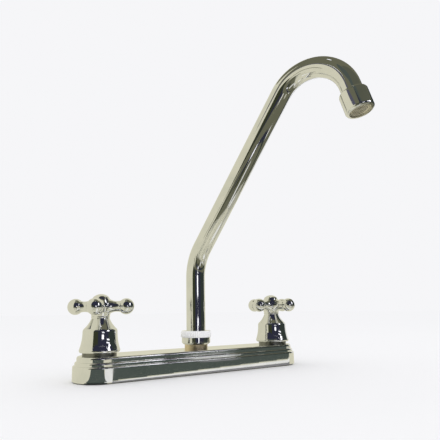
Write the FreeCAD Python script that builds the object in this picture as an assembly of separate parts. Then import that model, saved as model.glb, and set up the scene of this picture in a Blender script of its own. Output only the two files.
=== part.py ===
"""Two-handle deck-mounted kitchen mixer tap with a swivelling tube spout and cross handles.

Frame: the origin is on the deck under the spout's swivel axis, +X runs along the plate towards the
cold handle, -Y faces the user and +Z is up.  Lengths are millimetres, angles are degrees.
"""

import FreeCAD, Part
import math
import os

V = FreeCAD.Vector
UP = V(0, 0, 1)

# Shared clearances
FIT_GAP = 0.05          # pieces that are pressed, soldered or screwed together
RUN_GAP = 0.08          # shafts that turn in a bore
FACE_GAP = 0.20         # flat faces that slide past each other
SWING_GAP = 0.40        # round faces that pass each other without guiding
CUT_OVERRUN = 1.0       # how far a cutting tool runs past the piece
SAME_LEVEL = 0.01       # how near two levels are to count as one

# Deck plate: a stepped shell with round ends on the handle axes
HANDLE_SPACING = 203.2
PLATE_WIDTH = 45.8
PLATE_WALL = 1.6
SKIRT_LIFT = 0.6
SKIRT_HEIGHT = 13.8
SKIRT_EDGE_RADIUS = 1.5
SKIRT_FOOT_RADIUS = 1.0
LEDGE_INSET = 1.7
LEDGE_HEIGHT = 3.2
LEDGE_EDGE_RADIUS = 1.4
TOP_TIER_INSET = 1.6
TOP_TIER_HEIGHT = 4.6
TOP_EDGE_RADIUS = 1.8

# Deck gasket
GASKET_THICKNESS = 3.0
GASKET_SLOT_WIDTH = 16.0
GASKET_SLOT_SHARE = 0.305    # length of a slot in the handle spacing
SHANK_HOLE_GAP = 1.9

# Valve bodies with their inlet shanks
VALVE_FOOT_RADIUS = 17.5
VALVE_FOOT_HEIGHT = 2.5
VALVE_BODY_RADIUS = 13.5
VALVE_NECK_RADIUS = 12.0
VALVE_NECK_RISE = 7.4
VALVE_BORE_RADIUS = 9.2
VALVE_SEAT_HEIGHT = 8.6
WATERWAY_RADIUS = 6.25
SHANK_REGISTER_RADIUS = 10.65
SHANK_REGISTER_DROP = 6.0
SHANK_RADIUS = 10.45
SHANK_LENGTH = 50.0
SHANK_RELIEF_DEPTH = 0.9
SHANK_RELIEF_WIDTH = 2.0
SHANK_END_CHAMFER = 1.0

# Lock ring that clamps the plate to a valve body
LOCK_RING_RADIUS = 15.0
LOCK_RING_HEIGHT = 5.4
LOCK_RING_EDGE = 0.8

# Deck clamp under the sink: washer and hexagon nut on each shank
DECK_THICKNESS = 10.0
WASHER_RADIUS = 19.0
WASHER_THICKNESS = 2.5
CLAMP_NUT_ACROSS_FLATS = 32.0
CLAMP_NUT_HEIGHT = 9.0
CLAMP_NUT_CORNER_CHAMFER = 2.2

# Crossover tubes between the valve bodies and the spout hub
CROSSOVER_RADIUS = 5.6
CROSSOVER_WALL = 0.9
CROSSOVER_HEIGHT = 13.6
CROSSOVER_SOCKET_DEPTH = 2.6

# Spout hub, the brass nipple in the middle of the plate
HUB_BODY_RADIUS = 14.5
HUB_NECK_RADIUS = 11.4
HUB_BORE_RADIUS = 9.0
HUB_FLOOR_HEIGHT = 6.2

# Spout nut
NUT_LIFT = 4.9
NUT_PLAIN_RADIUS = 14.2
NUT_PLAIN_HEIGHT = 6.5
NUT_KNURL_RADIUS = 15.1
NUT_KNURL_HEIGHT = 6.4
NUT_KNURL_DEPTH = 0.6
NUT_KNURL_COUNT = 44
NUT_LIP_HEIGHT = 2.2
NUT_BEVEL = 1.4

# Spout tube, as one run of straights and bends in the swing plane
SPOUT_SWING_ANGLE = 18.9
TUBE_RADIUS = 9.525
TUBE_WALL = 1.0
RISER_CORNER_HEIGHT = 108.9
RISER_BEND_RADIUS = 54.0
SLANT_ANGLE = 34.7
SLANT_LENGTH = 169.8
HOOK_RADIUS = 37.7
OUTLET_ANGLE = 164.0
OUTLET_STRAIGHT = 15.0

# Spigot soldered into the foot of the tube, with its slip ring and O-rings
SPIGOT_WALL = 1.6
SPIGOT_TAIL = 11.0
FLANGE_HEIGHT = 1.8
SLIP_RING_HEIGHT = 1.2
RING_SECTION = 1.8
RING_GROOVE_DEPTH = 0.9
RING_PITCH = 6.0
RING_TIP_GAP = 5.0

# Aerator
AERATOR_RADIUS = 12.6
AERATOR_LENGTH = 20.5
AERATOR_SHOULDER_RADIUS = 2.6
AERATOR_EDGE_RADIUS = 2.0
AERATOR_THREAD_LENGTH = 8.0
AERATOR_WASHER_THICKNESS = 1.8
AERATOR_LIP_RADIUS = 9.8
AERATOR_LIP_HEIGHT = 1.8
SCREEN_RIM_WALL = 1.2
SCREEN_RECESS = 0.5
SCREEN_THICKNESS = 0.8
SCREEN_HOLE_RADIUS = 0.55
SCREEN_HOLE_PITCH = 2.0

# Ceramic cartridge
CARTRIDGE_WALL = 1.5
CARTRIDGE_HEX_ACROSS_FLATS = 20.0
CARTRIDGE_HEX_HEIGHT = 4.6
CARTRIDGE_NOSE_RADIUS = 6.6
CARTRIDGE_NOSE_HEIGHT = 4.0
CARTRIDGE_WINDOW_WIDTH = 7.0
SEAT_SEAL_HEIGHT = 2.2
DISC_THICKNESS = 2.6
DISC_PORT_RADIUS = 1.9
DISC_PORT_OFFSET = 4.2
STEM_RADIUS = 4.5
STEM_FOOT_HEIGHT = 4.0
STEM_FOOT_WIDTH = 7.0
STEM_TIP_DROP = 6.0
SPLINE_RADIUS = 4.0
SPLINE_DEPTH = 0.45
SPLINE_COUNT = 20
SPLINE_LENGTH = 13.0
STEM_RING_SECTION = 1.6
STEM_RING_DEPTH = 0.8
STEM_TAP_DEPTH = 11.0
CLIP_RADIUS = 6.2
CLIP_THICKNESS = 1.0
CLIP_GROOVE_DEPTH = 0.7
CLIP_OPENING = 4.0

# Bell skirt of a handle
BELL_LIFT = 2.9
BELL_HEIGHT = 31.0
BELL_WALL = 1.5
BELL_RIM_RADIUS = 17.9
BELL_NECK_RADIUS = 8.0
BELL_NECK_BEAD = 0.3

# The bell's outline from its rim up: each stretch is an arc through a middle point to an end point.
# The first share runs from the neck's radius to the rim's, the second from the bell's foot to its top.
BELL_START_SHARES = (0.93, 0.0)
BELL_ARC_SHARES = (
    ((1.0, 0.036), (0.975, 0.09)),
    ((0.79, 0.33), (0.73, 0.565)),
    ((0.694, 0.62), (0.588, 0.663)),
    ((0.2525, 0.787), (0.0, 0.935)),
)
BELL_NECK_SHARE = 0.955
BELL_BEAD_MIDDLE_SHARE = 0.975
BELL_BEAD_END_SHARE = 0.995
# Its hollow from the neck down to the rim, with radii measured to the outside before the wall comes off
BELL_HOLLOW_TOP_SHARE = 0.63
BELL_HOLLOW_SHARES = ((0.58, 0.545), (0.65, 0.42), (0.70, 0.34), (0.90, 0.10), (0.96, 0.0))

# Cross handle
CROSS_HUB_RADIUS = 9.3
CROSS_HUB_HEIGHT = 16.9
CROSS_CENTRE_HEIGHT = 8.4
CROSS_BOSS_RADIUS = 5.6
CROSS_BOSS_LENGTH = 13.0
ARM_COUNT = 4
ARM_REACH = 30.0
ARM_BALL_RADIUS = 7.1
ARM_NECK_RADIUS = 4.6
ARM_NECK_PLACE = 14.2
ARM_ROOT_RADIUS = 7.0
ARM_ROOT_PLACE = 7.5
ARM_THROAT_SHARE = 1.1
HOT_CROSS_ANGLE = 55.0
COLD_CROSS_ANGLE = 14.0

# Handle screw and index cap
SCREW_RADIUS = 2.0
SCREW_HEAD_RADIUS = 3.4
SCREW_HEAD_HEIGHT = 2.8
SCREW_SLOT_WIDTH = 1.0
SCREW_SLOT_DEPTH = 1.2
HUB_WEB = 3.0
CAP_RADIUS = 6.8
CAP_DOME_HEIGHT = 2.6
CAP_PLUG_RADIUS = 4.4
CAP_PLUG_HEIGHT = 2.4

# Levels worked out from the sizes above
PLATE_TOP = SKIRT_HEIGHT + LEDGE_HEIGHT + TOP_TIER_HEIGHT
PLATE_UNDERSIDE = PLATE_TOP - PLATE_WALL
PLATE_RADIUS = PLATE_WIDTH / 2
TOP_TIER_RADIUS = PLATE_RADIUS - LEDGE_INSET - TOP_TIER_INSET
VALVE_TOP = PLATE_TOP + VALVE_NECK_RISE
NUT_BOTTOM = PLATE_TOP + NUT_LIFT
NUT_KNURL_BOTTOM = NUT_BOTTOM + NUT_PLAIN_HEIGHT
NUT_TOP = NUT_KNURL_BOTTOM + NUT_KNURL_HEIGHT
NUT_LIP_BOTTOM = NUT_TOP - NUT_LIP_HEIGHT
SLIP_RING_TOP = NUT_LIP_BOTTOM - FACE_GAP
FLANGE_TOP = SLIP_RING_TOP - SLIP_RING_HEIGHT
FLANGE_BOTTOM = FLANGE_TOP - FLANGE_HEIGHT
HUB_TOP = FLANGE_BOTTOM - FACE_GAP
FLANGE_RADIUS = HUB_NECK_RADIUS + FIT_GAP - SWING_GAP
BELL_BOTTOM = PLATE_TOP + BELL_LIFT
BELL_TOP = BELL_BOTTOM + BELL_HEIGHT
CROSS_TOP = BELL_TOP + CROSS_HUB_HEIGHT
CROSS_CENTRE = BELL_TOP + CROSS_CENTRE_HEIGHT
STEM_TOP = CROSS_TOP - STEM_TIP_DROP - HUB_WEB
WEB_TOP = STEM_TOP + HUB_WEB
SEAL_TOP = VALVE_SEAT_HEIGHT + SEAT_SEAL_HEIGHT
FIXED_DISC_TOP = SEAL_TOP + DISC_THICKNESS
MOVING_DISC_TOP = FIXED_DISC_TOP + DISC_THICKNESS
STEM_FOOT_TOP = MOVING_DISC_TOP + STEM_FOOT_HEIGHT
CARTRIDGE_RADIUS = VALVE_BORE_RADIUS - FIT_GAP
CARTRIDGE_CAVITY_RADIUS = CARTRIDGE_RADIUS - CARTRIDGE_WALL
CARTRIDGE_TOP = VALVE_TOP + CARTRIDGE_HEX_HEIGHT + CARTRIDGE_NOSE_HEIGHT
WASHER_TOP = -DECK_THICKNESS
CLAMP_NUT_TOP = WASHER_TOP - WASHER_THICKNESS
CLAMP_NUT_BOTTOM = CLAMP_NUT_TOP - CLAMP_NUT_HEIGHT
SPIGOT_RADIUS = HUB_BORE_RADIUS - RUN_GAP
SPIGOT_BORE_RADIUS = TUBE_RADIUS - TUBE_WALL - FIT_GAP - SPIGOT_WALL

HANDLE_SIDES = {"hot": -HANDLE_SPACING / 2, "cold": HANDLE_SPACING / 2}
CROSS_ANGLES = {"hot": HOT_CROSS_ANGLE, "cold": COLD_CROSS_ANGLE}


def cylinder(radius, low, high, x=0.0):
    """An upright cylinder between two levels."""
    return Part.makeCylinder(radius, high - low, V(x, 0, low))


def ring(outer, inner, low, high, x=0.0):
    """An upright ring with a square section."""
    bore = cylinder(inner, low - CUT_OVERRUN, high + CUT_OVERRUN, x)
    return cylinder(outer, low, high, x).cut(bore)


def hexagon(across_flats, low, high):
    """An upright hexagonal prism on the origin."""
    corner = across_flats / math.sqrt(3)
    angles = [math.radians(60 * side) for side in range(7)]
    wire = Part.makePolygon([V(corner * math.cos(a), corner * math.sin(a), low) for a in angles])
    return Part.Face(wire).extrude(UP * (high - low))


def stadium(radius, spacing, low, high):
    """A prism with two straight sides along X and two half-round ends."""
    half = spacing / 2
    edges = [
        Part.LineSegment(V(-half, -radius, low), V(half, -radius, low)).toShape(),
        Part.Arc(V(half, -radius, low), V(half + radius, 0, low), V(half, radius, low)).toShape(),
        Part.LineSegment(V(half, radius, low), V(-half, radius, low)).toShape(),
        Part.Arc(V(-half, radius, low), V(-half - radius, 0, low), V(-half, -radius, low)).toShape(),
    ]
    return Part.Face(Part.Wire(edges)).extrude(UP * (high - low))


def level_edges(shape, level):
    """The edges of a shape that lie flat at one level."""
    box_of = [(edge, edge.BoundBox) for edge in shape.Edges]
    return [e for e, box in box_of if max(abs(box.ZMin - level), abs(box.ZMax - level)) < SAME_LEVEL]


class Outline:
    """A closed outline in the X-Z plane, drawn with lines and three-point arcs and then turned about Z."""

    def __init__(self, radius, level):
        self.start = V(radius, 0, level)
        self.point = self.start
        self.edges = []

    def line(self, radius, level):
        """Adds a straight stretch to a point."""
        target = V(radius, 0, level)
        self.edges.append(Part.LineSegment(self.point, target).toShape())
        self.point = target
        return self

    def arc(self, middle, end):
        """Adds an arc through a middle point to an end point, each (radius, level)."""
        through = V(middle[0], 0, middle[1])
        target = V(end[0], 0, end[1])
        self.edges.append(Part.Arc(self.point, through, target).toShape())
        self.point = target
        return self

    def turned(self):
        """Closes the outline and turns it about the Z axis into a solid."""
        if self.point.distanceToPoint(self.start) > 0:
            self.line(self.start.x, self.start.z)
        return Part.Face(Part.Wire(self.edges)).revolve(V(0, 0, 0), UP, 360)


def around(shape, count):
    """Copies of a shape spread evenly round the Z axis."""
    copies = []
    for index in range(count):
        copy = shape.copy()
        copy.rotate(V(0, 0, 0), UP, 360 * index / count)
        copies.append(copy)
    return copies


def toothed(radius, depth, count, low, high):
    """A prism with straight V teeth round its rim, for a knurl or a spline."""
    points = []
    for step in range(2 * count):
        reach = radius if step % 2 == 0 else radius - depth
        angle = math.pi * step / count
        points.append(V(reach * math.cos(angle), reach * math.sin(angle), low))
    wire = Part.makePolygon(points + points[:1])
    return Part.Face(wire).extrude(UP * (high - low))


def shifted(shape, x, turn=0.0):
    """A shape turned about Z and then moved along X, as a handle's pieces are."""
    moved = shape.copy()
    moved.rotate(V(0, 0, 0), UP, turn)
    moved.translate(V(x, 0, 0))
    return moved


def deck_plate():
    """The chromed cover: three stepped tiers with rounded edges, hollow underneath."""
    ledge_top = SKIRT_HEIGHT + LEDGE_HEIGHT
    skirt = stadium(PLATE_RADIUS, HANDLE_SPACING, SKIRT_LIFT, SKIRT_HEIGHT)
    skirt = skirt.makeFillet(SKIRT_EDGE_RADIUS, level_edges(skirt, SKIRT_HEIGHT))
    skirt = skirt.makeFillet(min(SKIRT_FOOT_RADIUS, PLATE_WALL / 2), level_edges(skirt, SKIRT_LIFT))
    ledge = stadium(PLATE_RADIUS - LEDGE_INSET, HANDLE_SPACING, SKIRT_HEIGHT - PLATE_WALL, ledge_top)
    ledge = ledge.makeFillet(LEDGE_EDGE_RADIUS, level_edges(ledge, ledge_top))
    top = stadium(TOP_TIER_RADIUS, HANDLE_SPACING, ledge_top - PLATE_WALL, PLATE_TOP)
    top = top.makeFillet(TOP_EDGE_RADIUS, level_edges(top, PLATE_TOP))
    shell = skirt.fuse([ledge, top])
    wide = stadium(PLATE_RADIUS - PLATE_WALL, HANDLE_SPACING, -CUT_OVERRUN, SKIRT_HEIGHT - PLATE_WALL)
    narrow = stadium(TOP_TIER_RADIUS - PLATE_WALL, HANDLE_SPACING, -CUT_OVERRUN, PLATE_UNDERSIDE)
    tools = [wide, narrow]
    for x in HANDLE_SIDES.values():
        tools.append(cylinder(VALVE_NECK_RADIUS + FIT_GAP, 0, PLATE_TOP + CUT_OVERRUN, x))
    tools.append(cylinder(HUB_NECK_RADIUS + FIT_GAP, 0, PLATE_TOP + CUT_OVERRUN))
    return shell.cut(tools).removeSplitter()


def deck_gasket():
    """The rubber pad inside the skirt that seals the plate to the deck."""
    pad = stadium(PLATE_RADIUS - PLATE_WALL - FIT_GAP, HANDLE_SPACING, 0, GASKET_THICKNESS)
    tools = []
    slot_reach = GASKET_SLOT_SHARE * HANDLE_SPACING - GASKET_SLOT_WIDTH
    for x in HANDLE_SIDES.values():
        hole_radius = SHANK_REGISTER_RADIUS + SHANK_HOLE_GAP
        tools.append(cylinder(hole_radius, -CUT_OVERRUN, GASKET_THICKNESS + CUT_OVERRUN, x))
        slot = stadium(GASKET_SLOT_WIDTH / 2, slot_reach, -CUT_OVERRUN, GASKET_THICKNESS + CUT_OVERRUN)
        tools.append(shifted(slot, x / 2))
    return pad.cut(tools)


def valve_body(x):
    """A brass valve body: shank, chamber and neck turned in one piece, with a side port to the spout."""
    inward = -math.copysign(1, x)
    body = cylinder(VALVE_BODY_RADIUS, GASKET_THICKNESS, PLATE_UNDERSIDE)
    foot = cylinder(VALVE_FOOT_RADIUS, GASKET_THICKNESS, GASKET_THICKNESS + VALVE_FOOT_HEIGHT)
    neck = cylinder(VALVE_NECK_RADIUS, PLATE_UNDERSIDE, VALVE_TOP)
    register = cylinder(SHANK_REGISTER_RADIUS, -SHANK_REGISTER_DROP, GASKET_THICKNESS)
    shank = cylinder(SHANK_RADIUS, -SHANK_LENGTH, -SHANK_REGISTER_DROP)
    shank = shank.makeChamfer(SHANK_END_CHAMFER, level_edges(shank, -SHANK_LENGTH))
    relief_top = CLAMP_NUT_BOTTOM - SHANK_RELIEF_WIDTH
    relief_core = SHANK_RADIUS - SHANK_RELIEF_DEPTH
    relief = ring(SHANK_RADIUS + CUT_OVERRUN, relief_core, relief_top - SHANK_RELIEF_WIDTH, relief_top)
    waterway = cylinder(WATERWAY_RADIUS, -SHANK_LENGTH - CUT_OVERRUN, VALVE_SEAT_HEIGHT + CUT_OVERRUN)
    chamber = cylinder(VALVE_BORE_RADIUS, VALVE_SEAT_HEIGHT, VALVE_TOP + CUT_OVERRUN)
    socket_start = V(inward * (VALVE_BODY_RADIUS - CROSSOVER_SOCKET_DEPTH), 0, CROSSOVER_HEIGHT)
    along = V(inward, 0, 0)
    socket = Part.makeCylinder(CROSSOVER_RADIUS + FIT_GAP, VALVE_BODY_RADIUS, socket_start, along)
    port_radius = CROSSOVER_RADIUS - CROSSOVER_WALL
    port = Part.makeCylinder(port_radius, VALVE_BODY_RADIUS, V(0, 0, CROSSOVER_HEIGHT), along)
    solid = body.fuse([foot, neck, register, shank]).removeSplitter()
    return shifted(solid.cut([relief, waterway, chamber, socket, port]), x)


def lock_ring(x):
    """The plated steel ring nut that clamps the plate down on a valve body."""
    solid = cylinder(LOCK_RING_RADIUS, PLATE_TOP, PLATE_TOP + LOCK_RING_HEIGHT)
    solid = solid.makeFillet(LOCK_RING_EDGE, level_edges(solid, PLATE_TOP + LOCK_RING_HEIGHT))
    bore = cylinder(VALVE_NECK_RADIUS + FIT_GAP, 0, PLATE_TOP + LOCK_RING_HEIGHT + CUT_OVERRUN)
    return shifted(solid.cut(bore), x)


def deck_washer(x):
    """The washer that bears on the underside of the sink deck."""
    return ring(WASHER_RADIUS, SHANK_RADIUS + FIT_GAP, WASHER_TOP - WASHER_THICKNESS, WASHER_TOP, x)


def clamp_nut(x):
    """The hexagon nut that draws a shank down, with turned corners."""
    prism = hexagon(CLAMP_NUT_ACROSS_FLATS, CLAMP_NUT_BOTTOM, CLAMP_NUT_TOP)
    corner = CLAMP_NUT_ACROSS_FLATS / math.sqrt(3)
    slope = CLAMP_NUT_CORNER_CHAMFER / 2
    turning = Outline(0, CLAMP_NUT_TOP).line(corner, CLAMP_NUT_TOP).line(corner, CLAMP_NUT_BOTTOM + slope)
    turning.line(corner - CLAMP_NUT_CORNER_CHAMFER, CLAMP_NUT_BOTTOM).line(0, CLAMP_NUT_BOTTOM)
    bore = cylinder(SHANK_RADIUS + FIT_GAP, CLAMP_NUT_BOTTOM - CUT_OVERRUN, CLAMP_NUT_TOP + CUT_OVERRUN)
    return shifted(prism.common(turning.turned()).cut(bore), x)


def spout_hub():
    """The brass hub under the plate whose threaded neck carries the spout nut."""
    body = cylinder(HUB_BODY_RADIUS, GASKET_THICKNESS, PLATE_UNDERSIDE)
    neck = cylinder(HUB_NECK_RADIUS, PLATE_UNDERSIDE, HUB_TOP)
    bore = cylinder(HUB_BORE_RADIUS, HUB_FLOOR_HEIGHT, HUB_TOP + CUT_OVERRUN)
    tools = [bore]
    for side in (-1, 1):
        along = V(side, 0, 0)
        start = V(side * (HUB_BODY_RADIUS - CROSSOVER_SOCKET_DEPTH), 0, CROSSOVER_HEIGHT)
        tools.append(Part.makeCylinder(CROSSOVER_RADIUS + FIT_GAP, HUB_BODY_RADIUS, start, along))
        port_radius = CROSSOVER_RADIUS - CROSSOVER_WALL
        tools.append(Part.makeCylinder(port_radius, HUB_BODY_RADIUS, V(0, 0, CROSSOVER_HEIGHT), along))
    return body.fuse(neck).removeSplitter().cut(tools)


def crossover_tube(x):
    """A copper tube that carries water from a valve body to the hub."""
    side = math.copysign(1, x)
    near = HUB_BODY_RADIUS - CROSSOVER_SOCKET_DEPTH
    length = HANDLE_SPACING / 2 - VALVE_BODY_RADIUS + CROSSOVER_SOCKET_DEPTH - near
    start, along = V(side * near, 0, CROSSOVER_HEIGHT), V(side, 0, 0)
    tube = Part.makeCylinder(CROSSOVER_RADIUS, length, start, along)
    return tube.cut(Part.makeCylinder(CROSSOVER_RADIUS - CROSSOVER_WALL, length, start, along))


def spout_nut():
    """The knurled nut that traps the spout's flange on the hub."""
    foot = Outline(0, NUT_BOTTOM).line(NUT_PLAIN_RADIUS - NUT_BEVEL, NUT_BOTTOM)
    foot.line(NUT_PLAIN_RADIUS, NUT_BOTTOM + NUT_BEVEL).line(NUT_PLAIN_RADIUS, NUT_KNURL_BOTTOM)
    foot.line(0, NUT_KNURL_BOTTOM)
    knurl = toothed(NUT_KNURL_RADIUS, NUT_KNURL_DEPTH, NUT_KNURL_COUNT, NUT_KNURL_BOTTOM, NUT_TOP)
    thread = cylinder(HUB_NECK_RADIUS + FIT_GAP, NUT_BOTTOM - CUT_OVERRUN, NUT_LIP_BOTTOM)
    mouth = cylinder(TUBE_RADIUS + SWING_GAP, NUT_BOTTOM, NUT_TOP + CUT_OVERRUN)
    return foot.turned().fuse(knurl).cut([thread, mouth])


def spout_place(distance, level):
    """The point of the swing plane at a distance from the swivel axis, at a level."""
    swing = math.radians(SPOUT_SWING_ANGLE)
    return V(distance * math.sin(swing), -distance * math.cos(swing), level)


def spout_route():
    """The tube's centre line as a wire, with the end point and heading of its outlet."""
    slant = math.radians(SLANT_ANGLE)
    outlet = math.radians(OUTLET_ANGLE)
    bend_start = RISER_CORNER_HEIGHT - RISER_BEND_RADIUS * math.tan(slant / 2)

    def bend(centre, radius, first, last):
        """An arc of the centre line between two headings measured from straight up."""
        angles = (first, (first + last) / 2, last)
        points = [(centre[0] - radius * math.cos(a), centre[1] + radius * math.sin(a)) for a in angles]
        return Part.Arc(*[spout_place(*p) for p in points]).toShape(), points[-1]

    riser = Part.LineSegment(spout_place(0, FLANGE_TOP), spout_place(0, bend_start)).toShape()
    lower, foot = bend((RISER_BEND_RADIUS, bend_start), RISER_BEND_RADIUS, 0, slant)
    crown = (foot[0] + SLANT_LENGTH * math.sin(slant), foot[1] + SLANT_LENGTH * math.cos(slant))
    straight = Part.LineSegment(spout_place(*foot), spout_place(*crown)).toShape()
    centre = (crown[0] + HOOK_RADIUS * math.cos(slant), crown[1] - HOOK_RADIUS * math.sin(slant))
    hook, drop = bend(centre, HOOK_RADIUS, slant, outlet)
    end = (drop[0] + OUTLET_STRAIGHT * math.sin(outlet), drop[1] + OUTLET_STRAIGHT * math.cos(outlet))
    nose = Part.LineSegment(spout_place(*drop), spout_place(*end)).toShape()
    heading = spout_place(math.sin(outlet), math.cos(outlet))
    return Part.Wire([riser, lower, straight, hook, nose]), spout_place(*end), heading


def spout_tube():
    """The bent chrome tube."""
    route = spout_route()[0]
    foot = spout_place(0, FLANGE_TOP)
    skins = []
    for radius in (TUBE_RADIUS, TUBE_RADIUS - TUBE_WALL):
        section = Part.Wire(Part.Circle(foot, UP, radius).toShape())
        skins.append(route.makePipeShell([section], True, False))
    return skins[0].cut(skins[1])


def ring_levels():
    """The lower levels of the two O-ring grooves on the spigot."""
    low = spigot_bottom() + RING_TIP_GAP
    return [low, low + RING_PITCH]


def spigot_bottom():
    """The spigot's lower end, clear of the hub's floor."""
    return HUB_FLOOR_HEIGHT + CROSSOVER_RADIUS


def spout_spigot():
    """The brass end piece: soldered in the tube, trapped by its flange and sealed in the hub's bore."""
    tail_radius = TUBE_RADIUS - TUBE_WALL - FIT_GAP
    spigot = cylinder(SPIGOT_RADIUS, spigot_bottom(), FLANGE_BOTTOM)
    flange = cylinder(FLANGE_RADIUS, FLANGE_BOTTOM, FLANGE_TOP)
    tail = cylinder(tail_radius, FLANGE_TOP, FLANGE_TOP + SPIGOT_TAIL)
    bore = cylinder(SPIGOT_BORE_RADIUS, 0, FLANGE_TOP + SPIGOT_TAIL + CUT_OVERRUN)
    grooves = []
    for low in ring_levels():
        depth_radius = SPIGOT_RADIUS - RING_GROOVE_DEPTH
        grooves.append(ring(SPIGOT_RADIUS + CUT_OVERRUN, depth_radius, low, low + RING_SECTION))
    return spigot.fuse([flange, tail]).removeSplitter().cut([bore] + grooves)


def spout_o_rings():
    """The two rubber rings that seal the spigot in the hub."""
    inner = SPIGOT_RADIUS - RING_GROOVE_DEPTH
    outer = SPIGOT_RADIUS + RUN_GAP / 2
    return Part.Compound([ring(outer, inner, low, low + RING_SECTION) for low in ring_levels()])


def slip_ring():
    """The nylon ring on which the flange turns under the nut's lip."""
    return ring(FLANGE_RADIUS, TUBE_RADIUS + FIT_GAP, FLANGE_TOP, SLIP_RING_TOP)


def at_outlet(shape):
    """Moves a piece drawn with its axis on +Z from the tube's end to the spout's outlet."""
    end, heading = spout_route()[1:]
    placed = shape.copy()
    placed.Placement = FreeCAD.Placement(end, FreeCAD.Rotation(UP, heading))
    return placed


def aerator_housing():
    """The chromed sleeve screwed over the tube's end, with an inturned lip at its mouth."""
    mouth = aerator_mouth()
    sleeve = cylinder(AERATOR_RADIUS, -AERATOR_THREAD_LENGTH, mouth)
    sleeve = sleeve.makeFillet(AERATOR_SHOULDER_RADIUS, level_edges(sleeve, -AERATOR_THREAD_LENGTH))
    sleeve = sleeve.makeFillet(AERATOR_EDGE_RADIUS, level_edges(sleeve, mouth))
    thread = cylinder(TUBE_RADIUS + FIT_GAP, -AERATOR_THREAD_LENGTH - CUT_OVERRUN, 0)
    chamber = cylinder(screen_radius() + FIT_GAP, 0, mouth - AERATOR_LIP_HEIGHT)
    lip = cylinder(AERATOR_LIP_RADIUS, mouth - AERATOR_LIP_HEIGHT - CUT_OVERRUN, mouth + CUT_OVERRUN)
    return at_outlet(sleeve.cut([thread, chamber, lip]))


def aerator_mouth():
    """How far the aerator's mouth lies past the tube's end."""
    return AERATOR_LENGTH - AERATOR_THREAD_LENGTH


def screen_radius():
    """The outer radius of the aerator's insert, a little wider than the lip that holds it."""
    return (AERATOR_LIP_RADIUS + AERATOR_RADIUS) / 2 - FIT_GAP


def aerator_washer():
    """The rubber washer between the tube's end and the insert."""
    return at_outlet(ring(screen_radius(), TUBE_RADIUS - TUBE_WALL, 0, AERATOR_WASHER_THICKNESS))


def aerator_screen():
    """The brass insert: a sleeve with a perforated screen set back from its end."""
    high = aerator_mouth() - AERATOR_LIP_HEIGHT
    low = high - SCREEN_RECESS - SCREEN_THICKNESS
    reach = screen_radius() - SCREEN_RIM_WALL
    wall = ring(screen_radius(), reach, AERATOR_WASHER_THICKNESS, high)
    floor = cylinder(reach + SCREEN_RIM_WALL / 2, low, low + SCREEN_THICKNESS)
    rows = int(reach / SCREEN_HOLE_PITCH)
    holes = []
    for column in range(-rows, rows + 1):
        for row in range(-rows, rows + 1):
            x, y = column * SCREEN_HOLE_PITCH, row * SCREEN_HOLE_PITCH
            if math.hypot(x, y) + 2 * SCREEN_HOLE_RADIUS < reach:
                bottom = V(x, y, low - CUT_OVERRUN)
                depth = SCREEN_THICKNESS + 2 * CUT_OVERRUN
                holes.append(Part.makeCylinder(SCREEN_HOLE_RADIUS, depth, bottom))
    return at_outlet(wall.fuse(floor).removeSplitter().cut(holes))


def seat_seal(x):
    """The rubber ring that presses the ceramic discs together."""
    return ring(CARTRIDGE_CAVITY_RADIUS - FIT_GAP, WATERWAY_RADIUS, VALVE_SEAT_HEIGHT, SEAL_TOP, x)


def ceramic_disc(x, low, radius):
    """A ceramic disc with two round ports."""
    disc = cylinder(radius, low, low + DISC_THICKNESS)
    ports = []
    for side in (-1, 1):
        bottom = V(0, side * DISC_PORT_OFFSET, low - CUT_OVERRUN)
        ports.append(Part.makeCylinder(DISC_PORT_RADIUS, DISC_THICKNESS + 2 * CUT_OVERRUN, bottom))
    return shifted(disc.cut(ports), x)


def fixed_disc(x):
    """The lower disc, held in the cartridge."""
    return ceramic_disc(x, SEAL_TOP, CARTRIDGE_CAVITY_RADIUS - FIT_GAP)


def moving_disc(x):
    """The upper disc, turned a quarter turn by the stem and closed at rest."""
    disc = ceramic_disc(0, FIXED_DISC_TOP, CARTRIDGE_CAVITY_RADIUS - RUN_GAP)
    return shifted(disc, x, 90)


def cartridge_body(x):
    """The brass cartridge screwed into a valve body, with outlet windows and a hexagon."""
    hex_top = VALVE_TOP + CARTRIDGE_HEX_HEIGHT
    body = cylinder(CARTRIDGE_RADIUS, VALVE_SEAT_HEIGHT, VALVE_TOP)
    head = hexagon(CARTRIDGE_HEX_ACROSS_FLATS, VALVE_TOP, hex_top)
    nose = cylinder(CARTRIDGE_NOSE_RADIUS, hex_top, CARTRIDGE_TOP)
    cavity = cylinder(CARTRIDGE_CAVITY_RADIUS, VALVE_SEAT_HEIGHT - CUT_OVERRUN, STEM_FOOT_TOP + FACE_GAP)
    bore = cylinder(STEM_RADIUS + RUN_GAP, VALVE_SEAT_HEIGHT, CARTRIDGE_TOP + CUT_OVERRUN)
    window_height = STEM_FOOT_TOP - MOVING_DISC_TOP
    window = Part.makeBox(
        2 * VALVE_BORE_RADIUS + CUT_OVERRUN,
        CARTRIDGE_WINDOW_WIDTH,
        window_height,
        V(-VALVE_BORE_RADIUS - CUT_OVERRUN / 2, -CARTRIDGE_WINDOW_WIDTH / 2, MOVING_DISC_TOP),
    )
    solid = body.fuse([head, nose]).removeSplitter()
    return shifted(solid.cut([cavity, bore, window]), x)


def stem_ring_low():
    """The lower level of the O-ring groove on a stem."""
    return VALVE_TOP


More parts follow.
